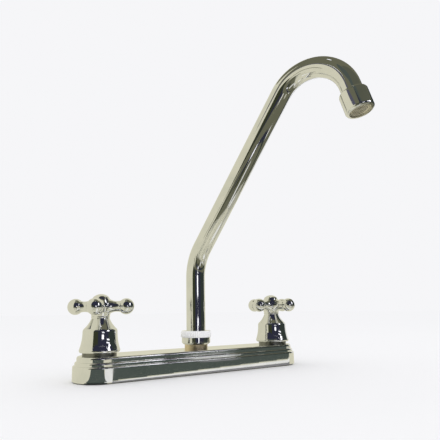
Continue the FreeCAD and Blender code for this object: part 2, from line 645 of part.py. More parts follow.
def valve_stem(x):
    """The stem: a foot that turns the disc, a sealed shaft and a splined top with a tapped hole."""
    foot_radius = CARTRIDGE_CAVITY_RADIUS - RUN_GAP
    flats = V(-foot_radius - CUT_OVERRUN, -STEM_FOOT_WIDTH / 2, MOVING_DISC_TOP)
    blade = Part.makeBox(2 * (foot_radius + CUT_OVERRUN), STEM_FOOT_WIDTH, STEM_FOOT_HEIGHT, flats)
    foot = cylinder(foot_radius, MOVING_DISC_TOP, STEM_FOOT_TOP).common(blade)
    spline_low = STEM_TOP - SPLINE_LENGTH
    shaft = cylinder(STEM_RADIUS, STEM_FOOT_TOP, spline_low)
    spline = toothed(SPLINE_RADIUS, SPLINE_DEPTH, SPLINE_COUNT, spline_low, STEM_TOP)
    groove_low = stem_ring_low()
    groove = ring(
        STEM_RADIUS + CUT_OVERRUN, STEM_RADIUS - STEM_RING_DEPTH, groove_low, groove_low + STEM_RING_SECTION
    )
    clip_low = stem_clip_low()
    clip_seat = ring(
        STEM_RADIUS + CUT_OVERRUN, STEM_RADIUS - CLIP_GROOVE_DEPTH, clip_low, clip_low + CLIP_THICKNESS
    )
    tap = cylinder(SCREW_RADIUS + FIT_GAP, STEM_TOP - STEM_TAP_DEPTH, STEM_TOP + CUT_OVERRUN)
    return shifted(foot.fuse([shaft, spline]).cut([groove, clip_seat, tap]), x)


def stem_clip_low():
    """The lower level of the clip's groove, just above the cartridge's nose."""
    return CARTRIDGE_TOP + FACE_GAP


def stem_clip(x):
    """The spring clip that keeps a stem from dropping through its cartridge."""
    low = stem_clip_low()
    clip = ring(CLIP_RADIUS, STEM_RADIUS - CLIP_GROOVE_DEPTH + FIT_GAP, low, low + CLIP_THICKNESS)
    corner = V(0, -CLIP_OPENING / 2, low - CUT_OVERRUN)
    mouth = Part.makeBox(CLIP_RADIUS + CUT_OVERRUN, CLIP_OPENING, CLIP_THICKNESS + 2 * CUT_OVERRUN, corner)
    return shifted(clip.cut(mouth), x)


def stem_o_ring(x):
    """The rubber ring in the stem's groove."""
    low = stem_ring_low()
    return ring(STEM_RADIUS + RUN_GAP / 2, STEM_RADIUS - STEM_RING_DEPTH, low, low + STEM_RING_SECTION, x)


def bell_skirt(x):
    """The bell under a cross handle: rim bead, flared barrel, shoulder, neck and top bead, hollow inside."""

    def place(shares, inset=0):
        """A point of the outline from its two shares, drawn in by a wall where it is inside."""
        radius = BELL_NECK_RADIUS + shares[0] * (BELL_RIM_RADIUS - BELL_NECK_RADIUS)
        return radius - inset, BELL_BOTTOM + shares[1] * BELL_HEIGHT

    neck = BELL_NECK_RADIUS
    bore = CROSS_BOSS_RADIUS + FIT_GAP
    bell = Outline(*place(BELL_START_SHARES))
    for middle, end in BELL_ARC_SHARES:
        bell.arc(place(middle), place(end))
    bell.line(*place((0, BELL_NECK_SHARE)))
    bulge = place((0, BELL_BEAD_MIDDLE_SHARE), -BELL_NECK_BEAD)
    bell.arc(bulge, place((0, BELL_BEAD_END_SHARE)))
    bell.line(neck, BELL_TOP)
    bell.line(bore, BELL_TOP)
    bell.line(bore, place((0, BELL_HOLLOW_TOP_SHARE))[1])
    for shares in BELL_HOLLOW_SHARES:
        bell.line(*place(shares, BELL_WALL))
    return shifted(bell.turned(), x)


def cross_arm():
    """One arm along +X: a root that flares inside the hub, then a cove that swells into a ball end."""
    centre = ARM_REACH - ARM_BALL_RADIUS
    throat = ARM_NECK_RADIUS * ARM_THROAT_SHARE
    ball_start = centre - math.sqrt(ARM_BALL_RADIUS**2 - throat**2)
    arm = Outline(0, 0).line(ARM_ROOT_RADIUS, ARM_ROOT_PLACE)
    arm.arc((ARM_NECK_RADIUS, ARM_NECK_PLACE), (throat, ball_start))
    arm.arc((ARM_BALL_RADIUS, centre), (0, ARM_REACH))
    solid = arm.turned()
    solid.rotate(V(0, 0, 0), V(0, 1, 0), 90)
    return solid


def cross_handle(x, angle):
    """The four-armed cross with its round hub and the splined boss that slides on the stem."""
    hub = Outline(0, BELL_TOP).line(BELL_NECK_RADIUS, BELL_TOP)
    hub.arc((CROSS_HUB_RADIUS, CROSS_CENTRE), (cap_seat_radius(), CROSS_TOP)).line(0, CROSS_TOP)
    solid = hub.turned().fuse(cylinder(CROSS_BOSS_RADIUS, BELL_TOP - CROSS_BOSS_LENGTH, CROSS_CENTRE))
    # The hub's seam is turned to lie between two arms, where no arm is joined across it.
    solid.rotate(V(0, 0, 0), UP, 180 / ARM_COUNT)
    for arm in around(cross_arm(), ARM_COUNT):
        arm.translate(V(0, 0, CROSS_CENTRE))
        solid = solid.fuse(arm)
    socket_low = BELL_TOP - CROSS_BOSS_LENGTH - CUT_OVERRUN
    socket = toothed(SPLINE_RADIUS + FIT_GAP, SPLINE_DEPTH, SPLINE_COUNT, socket_low, STEM_TOP)
    lead_in = cylinder(STEM_RADIUS + FIT_GAP, socket_low, STEM_TOP - SPLINE_LENGTH + CUT_OVERRUN)
    screw_hole = cylinder(SCREW_RADIUS + FIT_GAP, STEM_TOP - CUT_OVERRUN, CROSS_TOP + CUT_OVERRUN)
    cap_well = cylinder(CAP_PLUG_RADIUS + FIT_GAP, WEB_TOP, CROSS_TOP + CUT_OVERRUN)
    placed = solid.cut([lead_in, screw_hole, cap_well])
    placed.rotate(V(0, 0, 0), UP, angle)
    return shifted(placed.cut(socket), x)


def cap_seat_radius():
    """The radius of the flat on top of the hub, where the cap sits."""
    return CAP_RADIUS + FIT_GAP


def handle_screw(x):
    """The screw that holds the cross on the stem, with a slotted head in the hub's well."""
    shank_low = STEM_TOP - STEM_TAP_DEPTH + CUT_OVERRUN
    shank = cylinder(SCREW_RADIUS, shank_low, WEB_TOP)
    head_top = WEB_TOP + SCREW_HEAD_HEIGHT
    head = cylinder(SCREW_HEAD_RADIUS, WEB_TOP, head_top)
    corner = V(-SCREW_HEAD_RADIUS - CUT_OVERRUN, -SCREW_SLOT_WIDTH / 2, head_top - SCREW_SLOT_DEPTH)
    length = 2 * (SCREW_HEAD_RADIUS + CUT_OVERRUN)
    slot = Part.makeBox(length, SCREW_SLOT_WIDTH, SCREW_SLOT_DEPTH + CUT_OVERRUN, corner)
    return shifted(head.fuse(shank).removeSplitter().cut(slot), x)


def index_cap(x):
    """The bare domed cap pressed into the top of the hub."""
    ball = (CAP_RADIUS**2 + CAP_DOME_HEIGHT**2) / (2 * CAP_DOME_HEIGHT)
    half_turn = math.asin(CAP_RADIUS / ball) / 2
    dome_top = CROSS_TOP + CAP_DOME_HEIGHT
    middle = (ball * math.sin(half_turn), dome_top - ball + ball * math.cos(half_turn))
    dome = Outline(0, CROSS_TOP).line(CAP_RADIUS, CROSS_TOP)
    dome.arc(middle, (0, dome_top))
    plug = cylinder(CAP_PLUG_RADIUS, CROSS_TOP - CAP_PLUG_HEIGHT, CROSS_TOP)
    return shifted(dome.turned().fuse(plug).removeSplitter(), x)


def main():
    """Builds every piece and writes one file for each."""
    pieces = {
        "deck_plate": deck_plate(),
        "deck_gasket": deck_gasket(),
        "spout_hub": spout_hub(),
        "spout_nut": spout_nut(),
        "spout_tube": spout_tube(),
        "spout_spigot": spout_spigot(),
        "spout_o_rings": spout_o_rings(),
        "spout_slip_ring": slip_ring(),
        "aerator_housing": aerator_housing(),
        "aerator_washer": aerator_washer(),
        "aerator_screen": aerator_screen(),
    }
    for side, x in HANDLE_SIDES.items():
        pieces[side + "_valve_body"] = valve_body(x)
        pieces[side + "_crossover_tube"] = crossover_tube(x)
        pieces[side + "_lock_ring"] = lock_ring(x)
        pieces[side + "_deck_washer"] = deck_washer(x)
        pieces[side + "_clamp_nut"] = clamp_nut(x)
        pieces[side + "_seat_seal"] = seat_seal(x)
        pieces[side + "_fixed_disc"] = fixed_disc(x)
        pieces[side + "_moving_disc"] = moving_disc(x)
        pieces[side + "_cartridge_body"] = cartridge_body(x)
        pieces[side + "_valve_stem"] = valve_stem(x)
        pieces[side + "_stem_o_ring"] = stem_o_ring(x)
        pieces[side + "_stem_clip"] = stem_clip(x)
        pieces[side + "_bell_skirt"] = bell_skirt(x)
        pieces[side + "_cross_handle"] = cross_handle(x, CROSS_ANGLES[side])
        pieces[side + "_handle_screw"] = handle_screw(x)
        pieces[side + "_index_cap"] = index_cap(x)
    os.makedirs("parts", exist_ok=True)
    for name, shape in pieces.items():
        shape.exportStep("parts/" + name + ".step")
        solids = shape.Solids
        print(name, len(solids), "solid(s)", round(sum(s.Volume for s in solids), 1), "mm3", shape.isValid())


main()
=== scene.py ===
"""Studio scene of a two-handle mixer tap: stepped plate, cross handles on bells, and a hooked swivel spout.

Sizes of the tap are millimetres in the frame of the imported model. Meshes, cards and lamps are in metres.
"""

import logging
from dataclasses import dataclass
from enum import Enum
from math import asin, atan2, cos, pi, radians, sin, sqrt, tan
from typing import Any, Callable, Sequence

import bmesh
import bpy
from mathutils import Matrix, Vector


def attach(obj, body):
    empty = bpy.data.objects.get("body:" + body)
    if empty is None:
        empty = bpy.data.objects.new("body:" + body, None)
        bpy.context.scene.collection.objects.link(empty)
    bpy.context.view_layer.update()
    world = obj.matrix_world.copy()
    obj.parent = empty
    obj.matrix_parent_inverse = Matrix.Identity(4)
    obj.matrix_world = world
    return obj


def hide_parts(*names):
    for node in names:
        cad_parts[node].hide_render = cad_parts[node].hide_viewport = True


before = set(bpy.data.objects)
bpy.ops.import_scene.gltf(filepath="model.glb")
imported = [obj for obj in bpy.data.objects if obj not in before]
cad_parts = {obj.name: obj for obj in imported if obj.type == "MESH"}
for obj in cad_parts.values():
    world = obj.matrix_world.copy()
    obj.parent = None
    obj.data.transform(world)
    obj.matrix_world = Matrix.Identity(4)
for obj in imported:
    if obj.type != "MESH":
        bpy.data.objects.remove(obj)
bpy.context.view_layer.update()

MM = 0.001
IMAGE_SIZE = 440
FULL_TURN = 2 * pi
UP = Vector((0, 0, 1))
log = logging.getLogger("mixer_tap")

Pair = tuple[float, float]
Triple = tuple[float, float, float]
Ring = list[Vector]
Face = Sequence[Triple]
Piece = bpy.types.Object
Tree = bpy.types.NodeTree


class Body(Enum):
    """The rigid bodies that pieces ride on."""

    FIXED = "fixed_body"
    SPOUT = "spout"
    HOT = "hot_handle"
    COLD = "cold_handle"


class Slot(Enum):
    """The record's material slots, named for the pieces of the scene."""

    CHROME = "chrome"
    BRASS = "brass"
    STEEL = "steel"


class Side(Enum):
    """The two handles: label, place of the axis along X, rest angle of the cross in degrees, and body."""

    HOT = ("hot", -101.6, 55.0, Body.HOT)
    COLD = ("cold", 101.6, 14.0, Body.COLD)

    def __init__(self, label: str, axis_x: float, cross_angle: float, body: Body) -> None:
        """Names the four parts of the value."""
        self.label = label
        self.axis_x = axis_x
        self.cross_angle = cross_angle
        self.body = body


def operator(operation: str) -> Callable[["Value", Any], "Value"]:
    """A method that adds a Math node of one kind to a value."""
    return lambda value, other: value.math(operation, other)


class Value:
    """A node socket on which Python's operators add Math nodes."""

    __add__ = operator("ADD")
    __sub__ = operator("SUBTRACT")
    __mul__ = operator("MULTIPLY")
    __truediv__ = operator("DIVIDE")

    def __init__(self, graph: "Graph", socket: bpy.types.NodeSocket) -> None:
        """Keeps the socket and the graph that it belongs to."""
        self.graph = graph
        self.socket = socket

    def __rsub__(self, other: float) -> "Value":
        """Takes this value away from a number."""
        return self.graph.node("ShaderNodeMath", {0: other, 1: self}, operation="SUBTRACT")

    def math(self, operation: str, *others: Any) -> "Value":
        """Adds a Math node with this value first, then other values or numbers."""
        inputs = dict(enumerate((self, *others)))
        return self.graph.node("ShaderNodeMath", inputs, operation=operation)


class Graph:
    """A node tree that is filled through one method, for shaders and for geometry."""

    def __init__(self, tree: Tree) -> None:
        """Keeps the tree."""
        self.tree = tree

    @classmethod
    def of(cls, owner: bpy.types.Material | bpy.types.World) -> "Graph":
        """Gives a material or world an empty node tree."""
        owner.use_nodes = True
        owner.node_tree.nodes.clear()
        return cls(owner.node_tree)

    def node(
        self, kind: str, inputs: dict[Any, Any] | None = None, output: int | str = 0, **settings: str
    ) -> Value:
        """Adds any node.

        Args:
            kind: The node's type name.
            inputs: Values or links for its sockets, by index or name.
            output: The socket that is handed back.
            settings: The node's own settings, which are set first.

        Returns:
            The chosen output as a value.
        """
        made = self.tree.nodes.new(kind)
        for key, setting in settings.items():
            setattr(made, key, setting)
        for key, value in (inputs or {}).items():
            self.feed(made.inputs[key], value)
        return Value(self, made.outputs[output])

    def part(self, vector: Value, axis: str) -> Value:
        """One of a vector's three numbers."""
        return self.node("ShaderNodeSeparateXYZ", {0: vector}, output=axis)

    def vector(self, **axes: Any) -> Value:
        """A vector from the numbers along its axes."""
        return self.node("ShaderNodeCombineXYZ", axes)

    def mix(self, share: Value, first: Triple, second: Triple) -> Value:
        """Mixes two colours."""
        inputs = {0: share, 6: (*first, 1), 7: (*second, 1)}
        return self.node("ShaderNodeMix", inputs, 2, data_type="RGBA")

    def close(self, kind: str, result: Value) -> None:
        """Adds an output node and links the result to it."""
        self.feed(self.tree.nodes.new(kind).inputs[0], result)

    def feed(self, socket: bpy.types.NodeSocket, value: Any) -> None:
        """Links a value to a socket, or sets a plain number or colour on it."""
        if isinstance(value, Value):
            self.tree.links.new(value.socket, socket)
        else:
            socket.default_value = value


@dataclass(frozen=True)
class Finish:
    """A procedural finish: two tones, a roughness range and a fine relief on Object coordinates.

    Attributes:
        name: The material's name.
        tone: The main colour.
        shade: The colour in the stained or worn patches.
        metallic: How metallic the surface is.
        rough: The lowest and highest roughness.
        patch_scale: The patches' scale, in cycles per metre.
        relief: The relief's depth, in millimetres.
        relief_scale: The relief's scale, in cycles per metre.
        turned: The pitch of turning marks along Z, in millimetres, or 0 for none.
        coat: The clear coat's weight.
    """

    PATCH_DETAIL = 4.0
    GRAIN_DETAIL = 3.0
    NOISE_ROUGHNESS = 0.55
    WORN = (0.42, 0.68)
    GRAIN_IN_TURNING = 0.4
    BUMP_STRENGTH = 0.5

    name: str
    tone: Triple
    shade: Triple
    metallic: float
    rough: Pair
    patch_scale: float
    relief: float
    relief_scale: float
    turned: float = 0.0
    coat: float = 0.0

    def material(self) -> bpy.types.Material:
        """Builds the material, or hands back the one that was built before.

        Returns:
            The node material.
        """
        found = bpy.data.materials.get(self.name)
        if found:
            return found
        made = bpy.data.materials.new(self.name)
        graph = Graph.of(made)
        place = graph.node("ShaderNodeTexCoord", output="Object")
        patches = self.noise(graph, place, self.patch_scale, self.PATCH_DETAIL)
        height = self.noise(graph, place, self.relief_scale, self.GRAIN_DETAIL)
        worn = graph.node("ShaderNodeValToRGB", {0: patches})
        for stop, position in zip(worn.socket.node.color_ramp.elements, self.WORN):
            stop.position = position
        low, high = self.rough
        if self.turned:
            marks = (graph.part(place, "Z") / (self.turned * MM)).math("FRACT").math("PINGPONG", 0.5)
            height = height * self.GRAIN_IN_TURNING + marks
        inputs = {"Strength": self.BUMP_STRENGTH, "Distance": self.relief * MM, "Height": height}
        bump = graph.node("ShaderNodeBump", inputs)
        inputs = {
            "Base Color": graph.mix(worn, self.tone, self.shade),
            "Metallic": self.metallic,
            "Roughness": patches * (high - low) + low,
            "Coat Weight": self.coat,
            "Normal": bump,
        }
        graph.close("ShaderNodeOutputMaterial", graph.node("ShaderNodeBsdfPrincipled", inputs))
        return made

    @classmethod
    def noise(cls, graph: Graph, place: Value, scale: float, detail: float) -> Value:
        """Adds a noise texture and hands back its value."""
        inputs = {"Vector": place, "Scale": scale, "Detail": detail, "Roughness": cls.NOISE_ROUGHNESS}
        return graph.node("ShaderNodeTexNoise", inputs)


CHROME = Finish("chrome_plate", (0.83, 0.83, 0.82), (0.76, 0.77, 0.76), 1.0, (0.03, 0.09), 55.0, 0.03, 45.0)
# The knurl band is chrome; its near-white, barely metallic colour is painted glare that stands for its
# bright highlights.
KNURL_GLARE = Finish(
    "knurl_painted_glare", (0.99, 0.99, 1.0), (0.93, 0.93, 0.95), 0.05, (0.28, 0.42), 120.0, 0.04, 900.0
)
BRASS = Finish(
    "bare_brass", (0.76, 0.65, 0.46), (0.64, 0.53, 0.36), 1.0, (0.34, 0.50), 90.0, 0.03, 700.0, turned=0.5
)
SCREEN = Finish(
    "screen_brass", (0.66, 0.62, 0.48), (0.54, 0.50, 0.38), 0.7, (0.30, 0.42), 160.0, 0.03, 900.0
)
# The collars under the bells are steel; their dark tone is painted shade from the narrow gap between bell
# and plate.
SHADED_STEEL = Finish(
    "steel_painted_shade", (0.24, 0.24, 0.215), (0.17, 0.17, 0.15), 1.0, (0.25, 0.40), 110.0, 0.03, 800.0
)
COPPER = Finish("copper_tube", (0.66, 0.34, 0.20), (0.38, 0.19, 0.12), 1.0, (0.20, 0.40), 60.0, 0.04, 500.0)
STEEL = Finish("zinc_steel", (0.62, 0.62, 0.60), (0.48, 0.48, 0.45), 1.0, (0.26, 0.42), 110.0, 0.04, 800.0)
RUBBER = Finish(
    "moulded_rubber", (0.030, 0.030, 0.032), (0.055, 0.053, 0.050), 0.0, (0.55, 0.75), 80.0, 0.10, 900.0
)
CERAMIC = Finish(
    "lapped_ceramic", (0.86, 0.85, 0.81), (0.80, 0.79, 0.75), 0.0, (0.12, 0.22), 70.0, 0.01, 900.0, coat=0.3
)
NYLON = Finish("moulded_nylon", (0.80, 0.79, 0.73), (0.72, 0.70, 0.63), 0.0, (0.38, 0.52), 60.0, 0.05, 600.0)


class Outline:
    """The outline of a turned piece, as radius and height pairs."""

    HOLD = 0.1

    def __init__(self, *points: Pair) -> None:
        """Starts with straight stretches through points."""
        self.points: list[Pair] = list(points)

    def to(self, *points: Pair) -> "Outline":
        """Adds straight stretches through points."""
        self.points += points
        return self

    @classmethod
    def rounded(cls, *corners: Sequence[float]) -> "Outline":
        """An outline through corners: radius, height and, where one is rounded, its fillet and steps."""
        made = cls(corners[0])
        for corner, after in zip(corners[1:], (*corners[2:], corners[0])):
            if len(corner) > 2:
                made.corner(*corner[:3], after[:2], *corner[3:])
            else:
                made.to(corner)
        return made

    def arc(self, middle: Pair, end: Pair, steps: int = 12) -> "Outline":
        """Adds an arc through a middle point.

        Args:
            middle: A point that the arc passes.
            end: Where the arc ends.
            steps: How many stretches it is drawn with.

        Returns:
            The outline itself, so that calls can be chained.
        """
        a, b, c = (Vector(p) for p in (self.points[-1], middle, end))
        ab, ac = b - a, c - a
        turn = 2 * (ab.x * ac.y - ab.y * ac.x)
        across_x = ac.y * ab.length_squared - ab.y * ac.length_squared
        across_y = ab.x * ac.length_squared - ac.x * ab.length_squared
        across = Vector((across_x, across_y)) / turn
        centre = a + across
        first = atan2(a.y - centre.y, a.x - centre.x)
        sweep = atan2(c.y - centre.y, c.x - centre.x) - first
        sweep = sweep % FULL_TURN if turn > 0 else -((-sweep) % FULL_TURN)
        radius = across.length
        for step in range(1, steps + 1):
            angle = first + sweep * step / steps
            self.to((centre.x + radius * cos(angle), centre.y + radius * sin(angle)))
        return self

    def corner(self, radius: float, height: float, fillet: float, after: Pair, steps: int = 6) -> "Outline":
        """Runs to a corner and rounds it, with a point on each side that keeps the flats flat.

        Args:
            radius: The corner's radius.
            height: The corner's height.
            fillet: The rounding's radius, for a square corner.
            after: The next point of the outline.
            steps: How many stretches the rounding is drawn with.

        Returns:
            The outline itself.
        """
        corner = Vector((radius, height))
        into = (corner - Vector(self.points[-1])).normalized()
        out = (Vector(after) - corner).normalized()
        start, end = corner - into * fillet, corner + out * fillet
        middle = corner + (out - into) * fillet * (1 - sqrt(0.5))
        if (start - Vector(self.points[-1])).length > 3 * self.HOLD:
            self.to(tuple(start - into * self.HOLD))
        self.to(tuple(start)).arc(tuple(middle), tuple(end), steps)
        if (Vector(after) - end).length > 3 * self.HOLD:
            self.to(tuple(end + out * self.HOLD))
        return self


class Mesher:
    """Turns rings of points into smooth closed meshes, and geometry trees into plain ones."""

    SHARP = radians(38)
    MERGE = 1e-7
    SHORTEST = 1e-8

    @classmethod
    def skin(
        cls,
        name: str,
        rings: Sequence[Ring],
        closed: bool,
        matrix: Matrix | None = None,
        capped: bool = False,
    ) -> Piece:
        """Joins rings of equal length with quads.

        Args:
            name: The object's name.
            rings: The rings in order, in millimetres.
            closed: Whether the last ring joins the first.
            matrix: A placement in millimetres, written into the mesh.
            capped: Whether the first and last rings are filled.

        Returns:
            The new object, at the origin.
        """
        shape = bmesh.new()
        rows = []
        for ring in rings:
            placed = [matrix @ point if matrix else point for point in ring]
            rows.append([shape.verts.new(point * MM) for point in placed])
        pairs = list(zip(rows, rows[1:]))
        if closed:
            pairs.append((rows[-1], rows[0]))
        for low, high in pairs:
            for index, corner in enumerate(low):
                after = (index + 1) % len(low)
                shape.faces.new((corner, low[after], high[after], high[index]))
        if capped:
            shape.faces.new(rows[0])
            shape.faces.new(rows[-1])
        bmesh.ops.remove_doubles(shape, verts=shape.verts, dist=cls.MERGE)
        bmesh.ops.dissolve_degenerate(shape, edges=shape.edges, dist=cls.SHORTEST)
        bmesh.ops.recalc_face_normals(shape, faces=shape.faces)
        return cls.finish(name, shape)

    @classmethod
    def finish(cls, name: str, shape: bmesh.types.BMesh) -> Piece:
        """Writes a shape into a new object with smooth faces and sharp creases."""
        mesh = bpy.data.meshes.new(name)
        shape.to_mesh(mesh)
        shape.free()
        return cls.smooth(name, mesh)

    @classmethod
    def from_faces(cls, name: str, faces: Sequence[Face]) -> Piece:
        """Makes an open mesh from faces in metres, which share the corners that they have in common."""
        shape = bmesh.new()
        corners: dict[Triple, bmesh.types.BMVert] = {}
        for face in faces:
            for point in face:
                if point not in corners:
                    corners[point] = shape.verts.new(point)
            shape.faces.new([corners[point] for point in face])
        return cls.finish(name, shape)

    @classmethod
    def smooth(cls, name: str, mesh: bpy.types.Mesh) -> Piece:
        """Smooths a mesh, keeps its creases sharp and puts it into a new object."""
        mesh.shade_smooth()
        mesh.set_sharp_from_angle(angle=cls.SHARP)
        return cls.link(name, mesh)

    @staticmethod
    def link(name: str, data: bpy.types.ID) -> Piece:
        """Puts a mesh, lamp or camera into a new object in the scene."""
        made = bpy.data.objects.new(name, data)
        bpy.context.scene.collection.objects.link(made)
        return made

    @classmethod
    def turned(
        cls,
        name: str,
        outline: Outline,
        x: float = 0.0,
        stretch: float = 0.0,
        segments: int = 96,
        closed: bool = False,
        matrix: Matrix | None = None,
    ) -> Piece:
        """Turns an outline about an upright axis, and pulls the halves apart for a plate with round ends.

        Args:
            name: The object's name.
            outline: The outline to turn.
            x: Where the axis stands along X.
            stretch: How far the two halves stand from the axis.
            segments: How many columns a full turn has.
            closed: Whether the outline is a loop.
            matrix: A placement in millimetres.

        Returns:
            The new object.
        """
        half = segments // 2
        columns = [(pi * (k / half - 0.5), stretch) for k in range(half + 1)]
        columns += [(pi * (k / half + 0.5), -stretch) for k in range(half + 1)]
        rings = [
            [Vector((x + s + radius * cos(a), radius * sin(a), height)) for a, s in columns]
            for radius, height in outline.points
        ]
        return cls.skin(name, rings, closed, matrix)

    @classmethod
    def from_tree(cls, name: str, tree: Tree, sizes: dict[str, Any], item: Piece | None = None) -> Piece:
        """Runs a geometry tree and keeps its result as a plain mesh.

        Args:
            name: The object's name.
            tree: The tree to run.
            sizes: Its named inputs.
            item: An object whose mesh goes in, which is used up.

        Returns:
            The new object with no modifier on it.
        """
        carrier = item or cls.link(name, bpy.data.meshes.new(name))
        modifier = carrier.modifiers.new("tree", "NODES")
        modifier.node_group = tree
        sockets = {s.name: s.identifier for s in tree.interface.items_tree if s.in_out == "INPUT"}
        for key, value in sizes.items():
            modifier[sockets[key]] = value
        view = bpy.context.evaluated_depsgraph_get()
        mesh = bpy.data.meshes.new_from_object(carrier.evaluated_get(view))
        bpy.data.objects.remove(carrier)
        mesh.name = name
        return cls.smooth(name, mesh)


class PatternTrees:
    """The geometry trees of what repeats: a ring of copies, a screw thread and a woven screen."""

    KINDS = {int: "NodeSocketInt", float: "NodeSocketFloat", tuple: "NodeSocketVector"}
    ORIGIN = (0.0, 0.0, 0.0)
    THREAD_COLUMNS = 73
    THREAD_MERGE = 1e-6
    WIRE_SIDES = 6
    WIRE_LIFT = 1.6

    @classmethod
    def start(cls, name: str, sizes: dict[str, Any]) -> tuple[Graph, Callable[[str], Value]]:
        """Makes an empty tree with named inputs.

        Args:
            name: The tree's name.
            sizes: Each input's default value, whose type sets the socket's type.

        Returns:
            The tree's graph, and a function that gives an input by its name.
        """
        tree = bpy.data.node_groups.new(name, "GeometryNodeTree")
        face = tree.interface
        face.new_socket("Geometry", in_out="OUTPUT", socket_type="NodeSocketGeometry")
        face.new_socket("Item", in_out="INPUT", socket_type="NodeSocketGeometry")
        face.new_socket("Finish", in_out="INPUT", socket_type="NodeSocketMaterial")
        for label, default in sizes.items():
            made = face.new_socket(label, in_out="INPUT", socket_type=cls.KINDS[type(default)])
            made.default_value = default
        graph = Graph(tree)
        source = tree.nodes.new("NodeGroupInput")
        return graph, lambda label: Value(graph, source.outputs[label])

    @staticmethod
    def end(graph: Graph, shape: Value, finish: Value) -> Tree:
        """Realizes a tree's instances, sets its finish and closes it."""
        real = graph.node("GeometryNodeRealizeInstances", {0: shape})
        dressed = graph.node("GeometryNodeSetMaterial", {"Geometry": real, "Material": finish})
        graph.close("NodeGroupOutput", dressed)
        return graph.tree

    @staticmethod
    def moved(graph: Graph, shape: Value, **motion: Any) -> Value:
        """Turns or shifts a geometry."""
        return graph.node("GeometryNodeTransform", {"Geometry": shape, **motion})

    @classmethod
    def ring_of_copies(cls) -> Tree:
        """Spreads copies of the item evenly round an upright axis."""
        sizes = {"Count": 4, "First angle": 0.0, "Centre": cls.ORIGIN}
        graph, size = cls.start("ring_of_copies", sizes)
        inputs = {"Count": size("Count"), "Position": size("Centre")}
        points = graph.node("GeometryNodePoints", inputs)
        angle = graph.node("GeometryNodeInputIndex") * FULL_TURN / size("Count") + size("First angle")
        inputs = {"Points": points, "Instance": size("Item"), "Rotation": graph.vector(Z=angle)}
        copies = graph.node("GeometryNodeInstanceOnPoints", inputs)
        return cls.end(graph, copies, size("Finish"))

    @classmethod
    def screw_thread(cls) -> Tree:
        """Wraps a grid into a closed sleeve whose outer radius follows a helix.

        The two rows at each end of the grid make the inner wall, whose halves meet at a seam.
        """
        sizes = {"Crest": 0.01, "Depth": 0.0005, "Wall": 0.0004, "Pitch": 0.0018, "Length": 0.02}
        graph, size = cls.start("screw_thread", {**sizes, "Rows": 100, "Foot": cls.ORIGIN})
        counts = {"Vertices X": cls.THREAD_COLUMNS, "Vertices Y": size("Rows")}
        grid = graph.node("GeometryNodeMeshGrid", {"Size X": 1.0, "Size Y": 1.0, **counts})
        place = graph.node("GeometryNodeInputPosition")
        around = graph.part(place, "X") + 0.5
        last = size("Rows") - 1
        row = (graph.part(place, "Y") + 0.5) * last
        from_end = row.math("MINIMUM", last - row)
        inner = from_end.math("LESS_THAN", 1.5)
        seam = from_end.math("LESS_THAN", 0.5)
        share = ((row - 2) / (size("Rows") - 5)).math("MAXIMUM", 0.0).math("MINIMUM", 1.0)
        along = size("Length") * (share + (0.5 - share) * seam)
        groove = (along / size("Pitch") - around).math("PINGPONG", 0.5) * 2
        fade = (along.math("MINIMUM", size("Length") - along) / size("Pitch")).math("MINIMUM", 1.0)
        radius = size("Crest") - size("Depth") * (groove * fade + (1 - fade))
        radius = radius + (size("Crest") - size("Depth") - size("Wall") - radius) * inner
        angle = around * FULL_TURN
        sleeve = graph.vector(X=radius * angle.math("COSINE"), Y=radius * angle.math("SINE"), Z=along)
        moved = graph.node("ShaderNodeVectorMath", {0: sleeve, 1: size("Foot")}, operation="ADD")
        shaped = graph.node("GeometryNodeSetPosition", {"Geometry": grid, "Position": moved})
        inputs = {"Geometry": shaped, "Distance": cls.THREAD_MERGE}
        merged = graph.node("GeometryNodeMergeByDistance", inputs)
        return cls.end(graph, merged, size("Finish"))

    @classmethod
    def woven_screen(cls) -> Tree:
        """Lays two crossing rows of wires across a round opening."""
        sizes = {"Reach": 0.01, "Pitch": 0.001, "Wire": 0.0001, "Count": 15}
        graph, size = cls.start("woven_screen", {**sizes, "Turn": cls.ORIGIN, "Centre": cls.ORIGIN})
        index = graph.node("GeometryNodeInputIndex")
        offset = (index - (size("Count") - 1) * 0.5) * size("Pitch")
        inputs = {"Count": size("Count"), "Position": graph.vector(Y=offset)}
        points = graph.node("GeometryNodePoints", inputs)
        inputs = {"Vertices": cls.WIRE_SIDES, "Side Segments": 1, "Radius": size("Wire"), "Depth": 1.0}
        wire = graph.node("GeometryNodeMeshCylinder", inputs)
        wire = cls.moved(graph, wire, Rotation=(0.0, pi / 2, 0.0))
        chord = (size("Reach") * size("Reach") - offset * offset).math("MAXIMUM", 0.0).math("SQRT") * 2
        inputs = {"Points": points, "Instance": wire, "Scale": graph.vector(X=chord, Y=1.0, Z=1.0)}
        row = graph.node("GeometryNodeInstanceOnPoints", inputs)
        crossing = cls.moved(graph, row, Rotation=(0.0, 0.0, pi / 2))
        lift = graph.vector(Z=size("Wire") * cls.WIRE_LIFT)
        crossing = cls.moved(graph, crossing, Translation=lift)
        joined = graph.node("GeometryNodeJoinGeometry", {0: row})
        graph.feed(joined.socket.node.inputs[0], crossing)
        placed = cls.moved(graph, joined, Rotation=size("Turn"), Translation=size("Centre"))
        return cls.end(graph, placed, size("Finish"))


